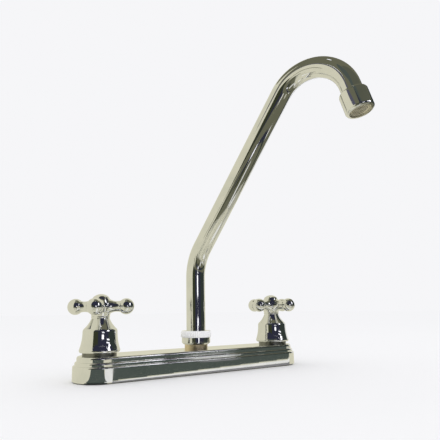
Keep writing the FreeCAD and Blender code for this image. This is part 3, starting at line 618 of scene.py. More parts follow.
class Bench:
    """Where finished pieces are handed to the frame."""

    @staticmethod
    def add(piece: Piece, body: Body, slot: Slot, finish: Finish, *stands_for: str) -> None:
        """Dresses a piece and fixes it to a body.

        Args:
            piece: The piece.
            body: The body it moves with.
            slot: The record's material slot; not used.
            finish: The finish it is dressed in.
            stands_for: The nodes that it is shown in place of.
        """
        piece.data.materials.clear()
        piece.data.materials.append(finish.material())
        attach(piece, body.value)
        if stands_for:
            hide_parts(*stands_for)
        log.info("%s: %d faces on %s", piece.name, len(piece.data.polygons), body.value)

    @staticmethod
    def dress(finishes: dict[str, Finish], label: str = "") -> None:
        """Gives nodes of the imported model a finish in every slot.

        Args:
            finishes: The finish of each node.
            label: What the nodes' names start with.
        """
        for node, finish in finishes.items():
            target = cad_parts[label + node]
            if not target.material_slots:
                target.data.materials.append(finish.material())
            for slot in target.material_slots:
                slot.material = finish.material()
            log.info("%s: dressed in %s", label + node, finish.name)

    @staticmethod
    def join(name: str, parts: Sequence[Piece]) -> Piece:
        """Puts several pieces that move as one into a single mesh."""
        shape = bmesh.new()
        for part in parts:
            shape.from_mesh(part.data)
            bpy.data.objects.remove(part)
        return Mesher.finish(name, shape)


@dataclass(frozen=True)
class DeckPlate:
    """The stepped chrome cover and the rubber pad inside it."""

    half_spacing: float = 101.6
    radius: float = 22.9
    ledge_radius: float = 21.2
    top_radius: float = 19.6
    lift: float = 0.6
    skirt_top: float = 13.8
    ledge_top: float = 17.0
    top: float = 21.6
    wall: float = 1.6
    foot_edge: float = 0.8
    skirt_edge: float = 1.3
    ledge_edge: float = 1.5
    top_edge: float = 1.9
    crease: float = 0.08
    columns: int = 128

    def build(self) -> None:
        """Builds the cover as one closed shell and dresses the pad."""
        inner_top, under = self.top - self.wall, self.skirt_top - self.wall
        low_radius, high_radius = self.radius - self.wall, self.top_radius - self.wall
        shell = Outline.rounded(
            (0, inner_top), (high_radius, inner_top), (high_radius, under),
            (low_radius, under), (low_radius, self.lift),
            (self.radius, self.lift, self.foot_edge), (self.radius, self.skirt_top, self.skirt_edge),
            (self.ledge_radius, self.skirt_top, self.crease),
            (self.ledge_radius, self.ledge_top, self.ledge_edge),
            (self.top_radius, self.ledge_top, self.crease), (self.top_radius, self.top, self.top_edge),
            (0, self.top),
        )
        cover = Mesher.turned("deck_cover", shell, stretch=self.half_spacing, segments=self.columns)
        Bench.add(cover, Body.FIXED, Slot.CHROME, CHROME, "deck_plate")
        Bench.dress({"deck_gasket": RUBBER})


@dataclass(frozen=True)
class Handle:
    """One cross handle with its bell, cap and lock ring.

    The bell's arcs (middle, end, steps) and hollow are shares from neck to rim and from foot to top.
    """

    BELL_START = (0.93, 0.0)
    BELL_ARCS = (
        ((1.0, 0.036), (0.975, 0.09), 12),
        ((0.79, 0.33), (0.73, 0.565), 20),
        ((0.694, 0.62), (0.588, 0.663), 16),
        ((0.2525, 0.787), (0.0, 0.935), 20),
    )
    BELL_BEAD = (0.955, 0.975, 0.995)
    BELL_CEILING = 0.63
    BELL_HOLLOW = ((0.58, 0.545), (0.65, 0.42), (0.70, 0.34), (0.90, 0.10), (0.96, 0.0))

    side: Side
    bell_foot: float = 24.5
    bell_height: float = 31.0
    rim: float = 17.9
    neck: float = 8.0
    bead: float = 0.3
    wall: float = 1.5
    bore: float = 5.65
    hub_radius: float = 9.3
    hub_height: float = 16.9
    hub_steps: int = 20
    centre_rise: float = 8.4
    cap_radius: float = 6.8
    cap_height: float = 2.6
    cap_gap: float = 0.05
    cap_sunk: float = 0.4
    cap_columns: int = 64
    arm_count: int = 4
    arm_reach: float = 30.0
    arm_columns: int = 48
    ball: float = 7.1
    ball_steps: int = 24
    arm_neck: float = 4.6
    arm_neck_place: float = 14.2
    arm_steps: int = 16
    throat_share: float = 1.1
    arm_root: float = 7.0
    arm_root_place: float = 7.5
    ring_radius: float = 15.0
    ring_bore: float = 12.05
    ring_foot: float = 21.6
    ring_height: float = 5.4
    ring_edge: float = 0.8

    def build(self) -> None:
        """Builds the visible pieces of the handle."""
        label = self.side.label
        turning = {"_bell_skirt": self.bell, "_cross_handle": self.cross, "_index_cap": self.cap}
        for node, make in turning.items():
            Bench.add(make(), self.side.body, Slot.CHROME, CHROME, label + node)
        # The collar's dark finish is painted shade from the gap under the bell.
        Bench.add(self.lock_ring(), Body.FIXED, Slot.STEEL, SHADED_STEEL, label + "_lock_ring")

    def place(self, radial: float, along: float, inset: float = 0.0) -> Pair:
        """A point of the bell from its shares between neck and rim, and between foot and top."""
        radius = self.neck + radial * (self.rim - self.neck) - inset
        return radius, self.bell_foot + along * self.bell_height

    def bell(self) -> Piece:
        """Turns the bell: rim bead, cove, barrel, shoulder, neck and top bead, with its hollow."""
        top = self.bell_foot + self.bell_height
        bell = Outline(self.place(*self.BELL_START))
        for middle, end, steps in self.BELL_ARCS:
            bell.arc(self.place(*middle), self.place(*end), steps)
        low, crest, high = self.BELL_BEAD
        bell.to(self.place(0.0, low)).arc(self.place(0.0, crest, -self.bead), self.place(0.0, high))
        bell.to((self.neck, top), (self.bore, top), (self.bore, self.place(0.0, self.BELL_CEILING)[1]))
        bell.to(*(self.place(radial, along, self.wall) for radial, along in self.BELL_HOLLOW))
        return Mesher.turned(self.side.label + "_bell", bell, self.side.axis_x, closed=True)

    def cross(self) -> Piece:
        """Turns the hub, and spreads one turned arm round it."""
        foot = self.bell_foot + self.bell_height
        middle, top = foot + self.centre_rise, foot + self.hub_height
        hub = Outline((0, foot), (self.neck, foot))
        hub.arc((self.hub_radius, middle), (self.cap_radius + self.cap_gap, top), self.hub_steps)
        hub.to((0, top))
        hub_piece = Mesher.turned("hub", hub, self.side.axis_x)
        centre = self.arm_reach - self.ball
        throat = self.arm_neck * self.throat_share
        ball_start = centre - sqrt(self.ball**2 - throat**2)
        arm = Outline((0, 0), (self.arm_root, self.arm_root_place))
        arm.arc((self.arm_neck, self.arm_neck_place), (throat, ball_start), self.arm_steps)
        arm.arc((self.ball, centre), (0, self.arm_reach), self.ball_steps)
        lying = Matrix.Rotation(pi / 2, 4, "Y")
        item = Mesher.turned("arm", arm, segments=self.arm_columns, matrix=lying)
        sizes = {
            "Count": self.arm_count, "First angle": radians(self.side.cross_angle),
            "Centre": (self.side.axis_x * MM, 0.0, middle * MM), "Finish": CHROME.material(),
        }
        arms = Mesher.from_tree("arms", PatternTrees.ring_of_copies(), sizes, item)
        return Bench.join(self.side.label + "_cross", [hub_piece, arms])

    def cap(self) -> Piece:
        """Turns the bare domed cap."""
        foot = self.bell_foot + self.bell_height + self.hub_height
        ball = (self.cap_radius**2 + self.cap_height**2) / (2 * self.cap_height)
        half = asin(self.cap_radius / ball) / 2
        top, under = foot + self.cap_height, foot - self.cap_sunk
        dome = Outline((0, under), (self.cap_radius, under), (self.cap_radius, foot))
        dome.arc((ball * sin(half), top - ball + ball * cos(half)), (0, top))
        return Mesher.turned(self.side.label + "_cap", dome, self.side.axis_x, segments=self.cap_columns)

    def lock_ring(self) -> Piece:
        """Turns the collar that shows under the bell."""
        bore, radius, foot = self.ring_bore, self.ring_radius, self.ring_foot
        top = foot + self.ring_height
        ring = Outline.rounded((bore, foot), (radius, foot), (radius, top, self.ring_edge), (bore, top))
        return Mesher.turned(self.side.label + "_collar", ring, self.side.axis_x, closed=True)


@dataclass(frozen=True)
class Spout:
    """The bent tube on its knurled nut, with the aerator at its end.

    The nut's outline has the radius and height of each corner: bore, plain band, seat of the knurl, and lip.
    """

    NUT_OUTLINE = (
        (11.45, 26.5), (12.8, 26.5), (14.2, 27.9), (14.2, 33.0), (14.3, 33.0), (14.3, 39.0),
        (13.9, 39.4), (10.325, 39.4), (9.925, 39.0), (9.925, 37.2), (11.45, 37.2),
    )

    swing: float = 18.9
    tube: float = 9.525
    tube_wall: float = 1.0
    tube_columns: int = 72
    foot: float = 35.8
    corner_height: float = 108.9
    bend: float = 54.0
    bend_steps: int = 16
    slant: float = 34.7
    slant_length: float = 169.8
    hook: float = 37.7
    hook_steps: int = 56
    outlet: float = 164.0
    outlet_straight: float = 15.0
    nut_top: float = 39.4
    knurl_foot: float = 33.0
    knurl: float = 15.1
    knurl_depth: float = 0.6
    knurl_count: int = 44
    knurl_chamfer: float = 0.6
    tooth_root: float = 0.5
    tooth_share: float = 0.98
    crest_share: float = 0.25
    aerator: float = 12.6
    aerator_thread: float = 8.0
    aerator_gap: float = 0.05
    aerator_mouth: float = 12.5
    aerator_shoulder: float = 2.6
    aerator_edge: float = 2.0
    aerator_chamber: float = 11.2
    shoulder_steps: int = 12
    edge_steps: int = 10
    lip: float = 9.8
    lip_depth: float = 1.8
    insert_depth: float = 2.3
    insert_width: float = 2.9
    insert_gap: float = 0.1
    insert_rise: float = 0.6
    insert_bead: float = 0.5
    insert_dish: Pair = (1.0, 0.15)
    insert_rim: Pair = (0.3, 0.5)
    insert_steps: int = 8
    screen_inset: float = 2.7
    screen_depth: float = 2.1
    wire_pitch: float = 0.42
    wire_radius: float = 0.13
    wire_count: int = 33

    def stations(self) -> list[Triple]:
        """Lists the centre line's stations as distance, height and heading from straight up.

        Returns:
            The stations from the tube's foot to its end.
        """
        slant, outlet = radians(self.slant), radians(self.outlet)
        start = self.corner_height - self.bend * tan(slant / 2)
        line = [(0.0, self.foot, 0.0)]
        for step in range(self.bend_steps + 1):
            a = slant * step / self.bend_steps
            line.append((self.bend * (1 - cos(a)), start + self.bend * sin(a), a))
        knee = line[-1]
        run, rise = self.slant_length * sin(slant), self.slant_length * cos(slant)
        crown = (knee[0] + run, knee[1] + rise)
        centre = (crown[0] + self.hook * cos(slant), crown[1] - self.hook * sin(slant))
        for step in range(self.hook_steps + 1):
            a = slant + (outlet - slant) * step / self.hook_steps
            line.append((centre[0] - self.hook * cos(a), centre[1] + self.hook * sin(a), a))
        drop = line[-1]
        reach = self.outlet_straight
        line.append((drop[0] + reach * sin(outlet), drop[1] + reach * cos(outlet), outlet))
        return line

    def out(self) -> Vector:
        """The level direction in which the spout points."""
        swing = radians(self.swing)
        return Vector((sin(swing), -cos(swing), 0))

    def outlet_matrix(self) -> Matrix:
        """The placement of a piece drawn with its axis on +Z from the tube's end."""
        distance, height, heading = self.stations()[-1]
        along = self.out() * sin(heading) + UP * cos(heading)
        turn = UP.rotation_difference(along).to_matrix().to_4x4()
        return Matrix.Translation(self.out() * distance + UP * height) @ turn

    def build(self) -> None:
        """Builds the tube, nut and aerator, and dresses what they hold."""
        Bench.add(self.pipe(), Body.SPOUT, Slot.CHROME, CHROME, "spout_tube")
        Bench.add(self.nut(), Body.FIXED, Slot.CHROME, CHROME, "spout_nut")
        # The knurl band's near-white colour is painted glare on chrome.
        Bench.add(self.knurl_band(), Body.FIXED, Slot.CHROME, KNURL_GLARE)
        Bench.add(self.housing(), Body.SPOUT, Slot.CHROME, CHROME, "aerator_housing")
        Bench.add(self.screen(), Body.SPOUT, Slot.BRASS, SCREEN)
        Bench.add(self.insert_ring(), Body.SPOUT, Slot.BRASS, SCREEN)
        finishes = {
            "spout_hub": BRASS, "spout_spigot": BRASS, "spout_o_rings": RUBBER, "spout_slip_ring": NYLON,
            "aerator_washer": RUBBER, "aerator_screen": SCREEN,
        }
        Bench.dress(finishes)

    def pipe(self) -> Piece:
        """Sweeps the tube's outer and inner skins along the centre line."""
        line = self.stations()
        side = UP.cross(self.out())
        angles = [FULL_TURN * k / self.tube_columns for k in range(self.tube_columns)]
        rings = []
        for radius, run in ((self.tube, line), (self.tube - self.tube_wall, line[::-1])):
            for distance, height, heading in run:
                centre = self.out() * distance + UP * height
                across = self.out() * cos(heading) - UP * sin(heading)
                rings.append([centre + (across * cos(a) + side * sin(a)) * radius for a in angles])
        return Mesher.skin("spout_pipe", rings, closed=True)

    def nut(self) -> Piece:
        """Turns the nut's plain band and lip."""
        return Mesher.turned("spout_nut_body", Outline(*self.NUT_OUTLINE), closed=True)

    def knurl_band(self) -> Piece:
        """Spreads one chamfered tooth round the nut."""
        half = pi / self.knurl_count
        edge, crest = half * self.tooth_share, half * self.crest_share
        core = self.knurl - self.knurl_depth
        root = core - self.tooth_root
        low, high, chamfer = self.knurl_foot, self.nut_top, self.knurl_chamfer
        levels = ((low, core), (low + chamfer, self.knurl), (high - chamfer, self.knurl), (high, core))
        rings = []
        for height, reach in levels:
            one_side = ((root, edge), (core, edge), (reach, crest))
            spread = (*one_side, *((r, -a) for r, a in one_side[::-1]))
            rings.append([Vector((r * cos(a), r * sin(a), height)) for r, a in spread])
        tooth = Mesher.skin("tooth", rings, closed=False, capped=True)
        sizes = {"Count": self.knurl_count, "First angle": 0.0, "Finish": KNURL_GLARE.material()}
        return Mesher.from_tree("spout_nut_knurl", PatternTrees.ring_of_copies(), sizes, tooth)

    def housing(self) -> Piece:
        """Turns the aerator's sleeve at the tube's end."""
        top, mouth, thread = -self.aerator_thread, self.aerator_mouth, self.tube + self.aerator_gap
        seat = mouth - self.lip_depth
        sleeve = Outline.rounded(
            (thread, top), (self.aerator, top, self.aerator_shoulder, self.shoulder_steps),
            (self.aerator, mouth, self.aerator_edge, self.edge_steps), (self.lip, mouth), (self.lip, seat),
            (self.aerator_chamber, seat), (self.aerator_chamber, 0), (thread, 0),
        )
        return Mesher.turned("aerator_sleeve", sleeve, closed=True, matrix=self.outlet_matrix())

    def insert_ring(self) -> Piece:
        """Turns the pressed ring that frames the wire screen."""
        face, inner = self.aerator_mouth - self.insert_depth, self.lip - self.insert_width
        outer, bead, steps = self.lip - self.insert_gap, self.insert_bead, self.insert_steps
        crest, shoulder = inner + bead, face + self.insert_rise
        (dish_in, dish_up), (rim_in, rim_up) = self.insert_dish, self.insert_rim
        ring = Outline((inner, face), (inner, shoulder))
        ring.arc((crest, shoulder + bead), (crest + bead, shoulder), steps)
        ring.arc((outer - dish_in, face + dish_up), (outer - rim_in, face + rim_up), steps)
        ring.to((outer, face + rim_up), (outer, face))
        return Mesher.turned("aerator_ring", ring, closed=True, matrix=self.outlet_matrix())

    def screen(self) -> Piece:
        """Weaves the fine wire screen that lies on the perforated plate."""
        place = self.outlet_matrix()
        sizes = {
            "Reach": (self.lip - self.screen_inset) * MM, "Pitch": self.wire_pitch * MM,
            "Wire": self.wire_radius * MM, "Count": self.wire_count, "Turn": place.to_euler(),
            "Centre": place @ Vector((0, 0, self.aerator_mouth - self.screen_depth)) * MM,
            "Finish": SCREEN.material(),
        }
        return Mesher.from_tree("aerator_wires", PatternTrees.woven_screen(), sizes)


@dataclass(frozen=True)
class Supply:
    """What lies in the plate and below the deck on one side: the brass body, its threads and its clamp.

    The body's outline has the radius and height of each corner: threaded shank at the threads' root, with a
    groove; register, flange, shell and collar; then the chamber and the bore.
    """

    OUTLINE = (
        (6.25, -50), (9.45, -50), (9.75, -49), (9.75, -25.5), (9.55, -25.5), (9.55, -23.5), (9.75, -23.5),
        (9.75, -6), (10.65, -6), (10.65, 3), (17.5, 3), (17.5, 5.5), (13.5, 5.5), (13.5, 20), (12, 20),
        (12, 29), (9.2, 29), (9.2, 8.6), (6.25, 8.6),
    )
    THREADS = (("lower", -49.0, -25.5), ("upper", -23.5, -6.0))

    side: Side
    shank: float = 10.45
    pitch: float = 1.8
    depth: float = 0.7
    thread_wall: float = 0.4
    rows_per_pitch: int = 10

    def build(self) -> None:
        """Builds the valve body with cut threads, and dresses the pieces on and in it."""
        label = self.side.label
        Bench.add(self.valve_body(), Body.FIXED, Slot.BRASS, BRASS, label + "_valve_body")
        for name, low, high in self.THREADS:
            Bench.add(self.thread(name, low, high), Body.FIXED, Slot.BRASS, BRASS)
        finishes = {
            "crossover_tube": COPPER, "deck_washer": STEEL, "clamp_nut": BRASS, "seat_seal": RUBBER,
            "fixed_disc": CERAMIC, "moving_disc": CERAMIC, "cartridge_body": BRASS, "valve_stem": BRASS,
            "stem_o_ring": RUBBER, "stem_clip": STEEL, "handle_screw": STEEL,
        }
        Bench.dress(finishes, label + "_")

    def valve_body(self) -> Piece:
        """Turns the body with its thread roots, bore and chamber."""
        name, outline = self.side.label + "_brass_body", Outline(*self.OUTLINE)
        return Mesher.turned(name, outline, self.side.axis_x, closed=True)

    def thread(self, name: str, low: float, high: float) -> Piece:
        """Cuts one length of thread.

        Args:
            name: Which length it is.
            low: Where it starts.
            high: Where it ends.

        Returns:
            The sleeve of thread.
        """
        sizes = {
            "Crest": self.shank * MM, "Depth": self.depth * MM, "Wall": self.thread_wall * MM,
            "Pitch": self.pitch * MM, "Length": (high - low) * MM,
            "Rows": int((high - low) / self.pitch * self.rows_per_pitch),
            "Foot": (self.side.axis_x * MM, 0.0, low * MM), "Finish": BRASS.material(),
        }
        label = "%s_thread_%s" % (self.side.label, name)
        return Mesher.from_tree(label, PatternTrees.screw_thread(), sizes)


@dataclass(frozen=True)
class Camera:
    """The photograph's camera, in millimetres and pixels of a 440 pixel frame."""

    place: Triple = (-266.92, -411.17, 60.94)
    focal: float = 474.06
    centre: Pair = (203.65, 216.56)
    yaw: float = 34.06
    pitch: float = 10.99
    roll: float = -0.72
    sensor: float = 36.0
    clip: Pair = (0.01, 50.0)

    def build(self) -> None:
        """Sets the scene's camera."""
        yaw, pitch, roll = (radians(a) for a in (self.yaw, self.pitch, self.roll))
        level = cos(pitch)
        ahead = Vector((sin(yaw) * level, cos(yaw) * level, sin(pitch)))
        right = Vector((cos(yaw), -sin(yaw), 0))
        up = right.cross(ahead)
        across = right * cos(roll) + up * sin(roll)
        above = up * cos(roll) - right * sin(roll)
        data = bpy.data.cameras.new("camera")
        data.sensor_width = self.sensor
        data.lens = self.focal * self.sensor / IMAGE_SIZE
        data.shift_x = 0.5 - self.centre[0] / IMAGE_SIZE
        data.shift_y = self.centre[1] / IMAGE_SIZE - 0.5
        data.clip_start, data.clip_end = self.clip
        camera = Mesher.link("camera", data)
        turn = Matrix((across, above, -ahead)).transposed().to_4x4()
        camera.matrix_world = Matrix.Translation(Vector(self.place) * MM) @ turn
        bpy.context.scene.camera = camera


class Glow(Enum):
    """What the cards send out."""

    CREAM = (0.72, 0.70, 0.55)
    DARK = (0.035, 0.045, 0.040)
    OLIVE = (0.150, 0.150, 0.100)
    PALE = (0.90, 0.90, 0.88)
    STRAW = (0.50, 0.49, 0.40)
    SHADE = (0.040, 0.045, 0.025)
    NAVY = (0.030, 0.032, 0.055)
    WINDOW = (1.6, 1.6, 1.7)
    BRIGHT = (3.0, 3.0, 3.2)
    DUSK = (0.10, 0.10, 0.14)
    MIST = (0.26, 0.26, 0.27)
    SLATE = (0.080, 0.098, 0.087)
    GREEN = (0.105, 0.110, 0.080)


def upright(run: Sequence[Pair], low: float, high: float) -> list[Face]:
    """The faces of a wall that stands along a run of points."""
    return [((*a, low), (*b, low), (*b, high), (*a, high)) for a, b in zip(run, run[1:])]


def bend(first: float, last: float, radius: float, steps: int = 24, x: float = 0.0) -> list[Pair]:
    """The points of an arc about an upright axis at x, from one angle to another in degrees from +X."""
    turns = [radians(first + (last - first) * k / steps) for k in range(steps + 1)]
    return [(x + radius * cos(a), radius * sin(a)) for a in turns]


@dataclass(frozen=True)
class Card:
    """A card of the stage that only mirrors see.

    Attributes:
        name: The card's name.
        glow: What it sends out.
        faces: Its faces.
        from_below: Whether it is clear when seen from above.
    """

    name: str
    glow: Glow
    faces: list[Face]
    from_below: bool = False

    def build(self) -> None:
        """Puts the card on the stage."""
        card = Mesher.from_faces(self.name, self.faces)
        material = bpy.data.materials.new(self.name)
        graph = Graph.of(material)
        inputs = {"Color": (*self.glow.value, 1), "Strength": 1.0}
        shine = graph.node("ShaderNodeEmission", inputs)
        if self.from_below:
            back = graph.node("ShaderNodeNewGeometry", output="Backfacing")
            clear = graph.node("ShaderNodeBsdfTransparent")
            shine = graph.node("ShaderNodeMixShader", {0: back, 1: clear, 2: shine})
        graph.close("ShaderNodeOutputMaterial", shine)
        card.data.materials.append(material)
        for ray in ("camera", "diffuse", "shadow", "transmission"):
            setattr(card, "visible_" + ray, False)


def wall(name: str, glow: Glow, first: float, last: float, radius: float, low: float, high: float) -> Card:
    """A curved card that stands round the spout's axis between two angles and two heights."""
    return Card(name, glow, upright(bend(first, last, radius), low, high))


def sheet(name: str, glow: Glow, height: float, *corners: Pair, from_below: bool = False) -> Card:
    """A flat card, whose corners are counted so that its front looks up."""
    return Card(name, glow, [[(x, y, height) for x, y in corners]], from_below)


ROOM = ((-1.3, -1.3), (1.3, -1.3), (1.3, 1.3), (-1.3, 1.3))
CANOPY = 0.16
LOW = (0.001, 0.030)

# The room that the chrome mirrors: walls, lamps, roof, low walls and the canopies over the handles.
SURROUNDINGS = (
    wall("cream_wall", Glow.CREAM, 5, 193, 0.185, -0.01, 0.56),
    wall("cream_far", Glow.CREAM, 95, 171, 1.25, -0.3, 1.05),
    wall("cream_end", Glow.CREAM, 171, 200, 1.25, -0.3, 0.70),
    wall("olive_wall", Glow.SHADE, 180, 232, 1.30, -0.4, 0.60),
    wall("navy_wall", Glow.NAVY, 232, 300, 1.30, -0.4, 0.60),
    wall("dark_wall", Glow.DARK, 300, 365, 1.30, -0.4, 0.60),
    wall("upper_olive", Glow.OLIVE, 120, 225, 1.29, 0.60, 1.10),
    wall("upper_navy", Glow.NAVY, 225, 330, 1.29, 0.60, 0.82),
    wall("upper_front", Glow.NAVY, 225, 256, 1.29, 0.82, 1.10),
    wall("upper_green", Glow.GREEN, 256, 330, 1.29, 0.82, 1.10),
    wall("upper_dark", Glow.DARK, 330, 408, 1.29, 0.60, 1.10),
    wall("dusk_band", Glow.DUSK, 165, 205, 1.28, 0.70, 0.84),
    wall("wall_lamp", Glow.WINDOW, 184, 187, 1.24, 0.88, 0.91),
    wall("window_low", Glow.WINDOW, 256, 271, 1.22, -0.30, 0.025),
    wall("window_mid", Glow.WINDOW, 255, 268, 1.22, 0.09, 0.27),
    wall("strip_low", Glow.WINDOW, 288, 308, 1.22, 0.24, 0.29),
    wall("strip_high", Glow.WINDOW, 286, 308, 1.22, 0.37, 0.42),
    wall("edge_light", Glow.BRIGHT, 301, 312, 1.24, 0.45, 1.10),
    wall("ledge_light", Glow.BRIGHT, 284, 301, 1.24, 0.62, 0.84),
    sheet("roof_lamp", Glow.WINDOW, 1.08, (-0.17, -0.25), (-0.09, -0.25), (-0.09, -0.18), (-0.17, -0.18)),
    sheet("roof_front", Glow.GREEN, 1.09, (-0.6, -1.3), (1.3, -1.3), (1.3, -0.5), (-0.3, -0.5)),
    sheet("roof_left", Glow.SLATE, 1.09,
          (-1.2, -1.3), (-0.6, -1.3), (-0.36, -0.66), (-0.36, -0.4), (-1.2, -0.4)),
    sheet("ceiling", Glow.OLIVE, 1.10, *ROOM),
    wall("low_olive", Glow.SHADE, 205, 232, 0.40, *LOW),
    wall("low_navy", Glow.NAVY, 232, 300, 0.40, *LOW),
    wall("low_dark", Glow.DARK, 300, 345, 0.40, *LOW),
    wall("low_window", Glow.WINDOW, 256, 263, 0.395, *LOW),
    sheet("canopy_left", Glow.NAVY, CANOPY,
          (-0.35, -0.27), (0.037, -0.27), (-0.08, -0.05), (-0.35, -0.05), from_below=True),
    sheet("canopy_right", Glow.NAVY, CANOPY,
          (0.11, -0.27), (0.237, -0.27), (0.12, -0.05), (0.0, -0.05), from_below=True),
)

# The table that the chrome mirrors, from far away to next to the plate, each card a layer above the last.
GROUND = (
    ("far_ground", Glow.OLIVE, *ROOM),
    ("front_far", Glow.NAVY, (-1.1, -0.72), (0.9, -0.72), (1.3, -1.3), (-1.3, -1.3)),
    ("ground_track", Glow.PALE, (-0.143, -0.62), (-0.076, -0.62), (-0.15, -1.24), (-0.28, -1.22)),
    ("middle_ground", Glow.STRAW, (-0.42, 0.0), (-0.36, -0.23), (0.20, -0.22), (0.42, -0.15), (0.45, 0.0)),
    ("light_ground", Glow.CREAM, (-0.36, 0.0), (-0.30, -0.20), (0.06, -0.215), (0.15, -0.17), (0.15, 0.0)),
    # A dark card beside the plate's foot: painted shadow of the plate on the mirrored table.
    ("plate_foot_shadow", Glow.DARK,
     (-0.1205, -0.0135), (-0.13, -0.0206), (-0.118, -0.0296), (-0.103, -0.034), (-0.103, -0.01)),
    ("ground_strip", Glow.MIST, (-0.099, -0.02), (-0.099, -0.033), (0.16, -0.045), (0.16, -0.02)),
    ("back_ground", Glow.CREAM,
     (-0.9, 0.9), (-0.9, -0.60), (-0.1205, -0.0135), (-0.1016, -0.010), (0.9, -0.010), (0.9, 0.9)),
    ("ground_window", Glow.PALE, (0.022, -0.22), (0.068, -0.22), (0.075, -0.34), (0.025, -0.34)),
    ("ground_patch", Glow.PALE, (0.265, -0.33), (0.325, -0.33), (0.33, -0.385), (0.27, -0.385)),
    ("ground_shade", Glow.SHADE, (-0.14, -0.30), (-0.06, -0.30), (-0.05, -0.40), (-0.16, -0.40)),
    ("front_ground", Glow.PALE,
     (-0.098, -0.0262), (0.12, -0.036), (0.32, -0.050), (0.32, -0.085), (0.15, -0.058), (-0.08, -0.032)),
    ("right_ground", Glow.CREAM,
     (0.1048, -0.0227), (0.245, -0.107), (0.285, -0.03), (0.265, 0.0), (0.11, 0.0)),
    ("ground_gleam", Glow.PALE,
     (-0.1056, -0.0228), (-0.0986, -0.0231), (-0.0569, -0.125), (-0.0998, -0.132)),
)

# The streaks of glare in the middle of the plate's front: on its top edge, its ledge and its skirt.
GLARE = 0.0021
GLARES = (
    sheet("glare_top", Glow.PALE, GLARE, (0.0836, -0.2091), (0.1019, -0.1922), (0.1406, -0.1861),
          (0.1625, -0.196), (0.159, -0.211), (0.1189, -0.2181)),
    sheet("glare_ledge", Glow.PALE, GLARE, (0.044, -0.1442), (0.0514, -0.1253), (0.0983, -0.1204),
          (0.1339, -0.1337), (0.1224, -0.1523), (0.0731, -0.1588)),
    sheet("glare_skirt", Glow.MIST, GLARE, (0.0356, -0.1009), (0.0475, -0.0921), (0.0755, -0.09),
          (0.0998, -0.0957), (0.0863, -0.1044), (0.0577, -0.107)),
)


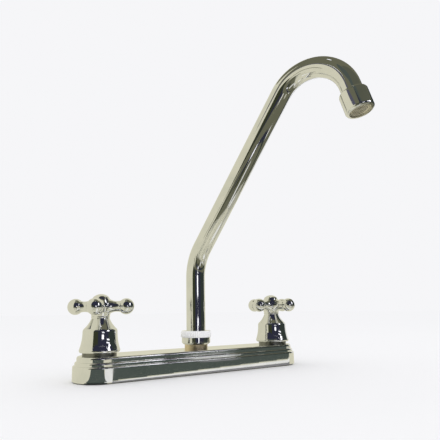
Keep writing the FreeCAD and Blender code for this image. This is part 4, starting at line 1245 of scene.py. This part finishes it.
@dataclass(frozen=True)
class Studio:
    """The pale floor, even light, and the cards that the chrome mirrors."""

    backdrop: Triple = (0.921, 0.921, 0.939)
    world_light: Triple = (1.0, 1.0, 1.0)
    floor_tone: Triple = (0.915, 0.915, 0.933)
    floor_mottle: float = 0.99
    mottle_scale: float = 3.0
    mottle_detail: float = 2.0
    floor_reach: float = 6.0
    floor_level: float = -0.0002
    lamp_aim: Triple = (0.0, 0.0, 0.12)
    first_layer: float = 0.0001
    layer_step: float = 0.0001
    slat_turn: float = 216.5
    slat_turn_end: float = 268.0
    slat_steps: int = 16
    slat_count: int = 52
    slat_gap: float = 0.004
    slat_foot: float = 0.0013
    slat_height: float = 0.0006
    slat_start: float = -0.15
    slat_slope: float = 7.5
    slat_end: float = 0.1045
    slat_end_slope: float = 1.67
    gleam_start: float = 0.003
    gleam_slope: float = 0.41

    def build(self) -> None:
        """Makes the world, floor, lamps and cards."""
        scene = bpy.context.scene
        scene.view_settings.view_transform = "Standard"
        self.world(scene)
        self.floor()
        self.lamp("key", (-0.55, -0.75, 1.0), 0.7, 0.5)
        self.lamp("fill", (0.7, -0.5, 0.9), 0.6, 0.25)
        for card in SURROUNDINGS:
            card.build()
        for layer, (name, glow, *corners) in enumerate(GROUND):
            sheet(name, glow, self.first_layer + self.layer_step * layer, *corners).build()
        self.slats()
        for card in GLARES:
            card.build()

    def slats(self) -> None:
        """Stands low slats round the plate's front, which darken only level rays that its skirt mirrors."""
        axis, edge = -DeckPlate.half_spacing * MM, DeckPlate.radius * MM
        faces = []
        for index in range(self.slat_count):
            reach = edge + self.slat_gap * (index + 1)
            away = reach - edge
            first = axis + self.gleam_start + away * self.gleam_slope
            turn_end = self.slat_end + away * self.slat_end_slope
            last = min(turn_end, self.slat_start + away * self.slat_slope)
            runs = [bend(self.slat_turn, self.slat_turn_end, reach, self.slat_steps, axis)]
            if last > first:
                runs.append([(first, -reach), (last, -reach)])
            for run in runs:
                faces += upright(run, self.slat_foot, self.slat_foot + self.slat_height)
        Card("slats", Glow.SLATE, faces).build()

    def world(self, scene: bpy.types.Scene) -> None:
        """Lights the scene evenly and shows the pale backdrop to the camera and to mirrors."""
        world = bpy.data.worlds.new("studio")
        scene.world = world
        graph = Graph.of(world)
        camera, glossy, clear = (
            graph.node("ShaderNodeLightPath", output="Is %s Ray" % kind)
            for kind in ("Camera", "Glossy", "Transmission")
        )
        seen = camera.math("MAXIMUM", glossy).math("MAXIMUM", clear)
        colour = graph.mix(seen, self.world_light, self.backdrop)
        shown = graph.node("ShaderNodeBackground", {"Color": colour})
        graph.close("ShaderNodeOutputWorld", shown)

    def floor(self) -> None:
        """Lays the floor, which can be seen through from below."""
        far, low = self.floor_reach, self.floor_level
        corners = ((-far, -far, low), (far, -far, low), (far, far, low), (-far, far, low))
        floor = Mesher.from_faces("floor", [corners])
        material = bpy.data.materials.new("pale_floor")
        graph = Graph.of(material)
        place = graph.node("ShaderNodeTexCoord", output="Object")
        mottle = Finish.noise(graph, place, self.mottle_scale, self.mottle_detail)
        shaded = tuple(c * self.floor_mottle for c in self.floor_tone)
        colour = graph.mix(mottle, self.floor_tone, shaded)
        top = graph.node("ShaderNodeBsdfDiffuse", {"Color": colour})
        below = graph.node("ShaderNodeNewGeometry", output="Backfacing")
        clear = graph.node("ShaderNodeBsdfTransparent")
        mixed = graph.node("ShaderNodeMixShader", {0: below, 1: top, 2: clear})
        graph.close("ShaderNodeOutputMaterial", mixed)
        floor.data.materials.append(material)

    def lamp(self, name: str, place: Triple, size: float, power: float) -> None:
        """Adds a soft square lamp that points at the object.

        Args:
            name: The lamp's name.
            place: Where it hangs.
            size: How long its sides are.
            power: Its power in watts.
        """
        data = bpy.data.lights.new(name, "AREA")
        data.size = size
        data.energy = power
        lamp = Mesher.link(name, data)
        away = Vector(place) - Vector(self.lamp_aim)
        turn = away.to_track_quat("Z", "Y").to_matrix().to_4x4()
        lamp.matrix_world = Matrix.Translation(Vector(place)) @ turn
        lamp.visible_glossy = False


def main() -> None:
    """Builds the tap, the studio and the camera."""
    logging.basicConfig(level=logging.INFO, format="%(name)s: %(message)s")
    DeckPlate().build()
    for side in Side:
        Handle(side).build()
        Supply(side).build()
    Spout().build()
    Studio().build()
    Camera().build()


if __name__ == "__main__":
    main()
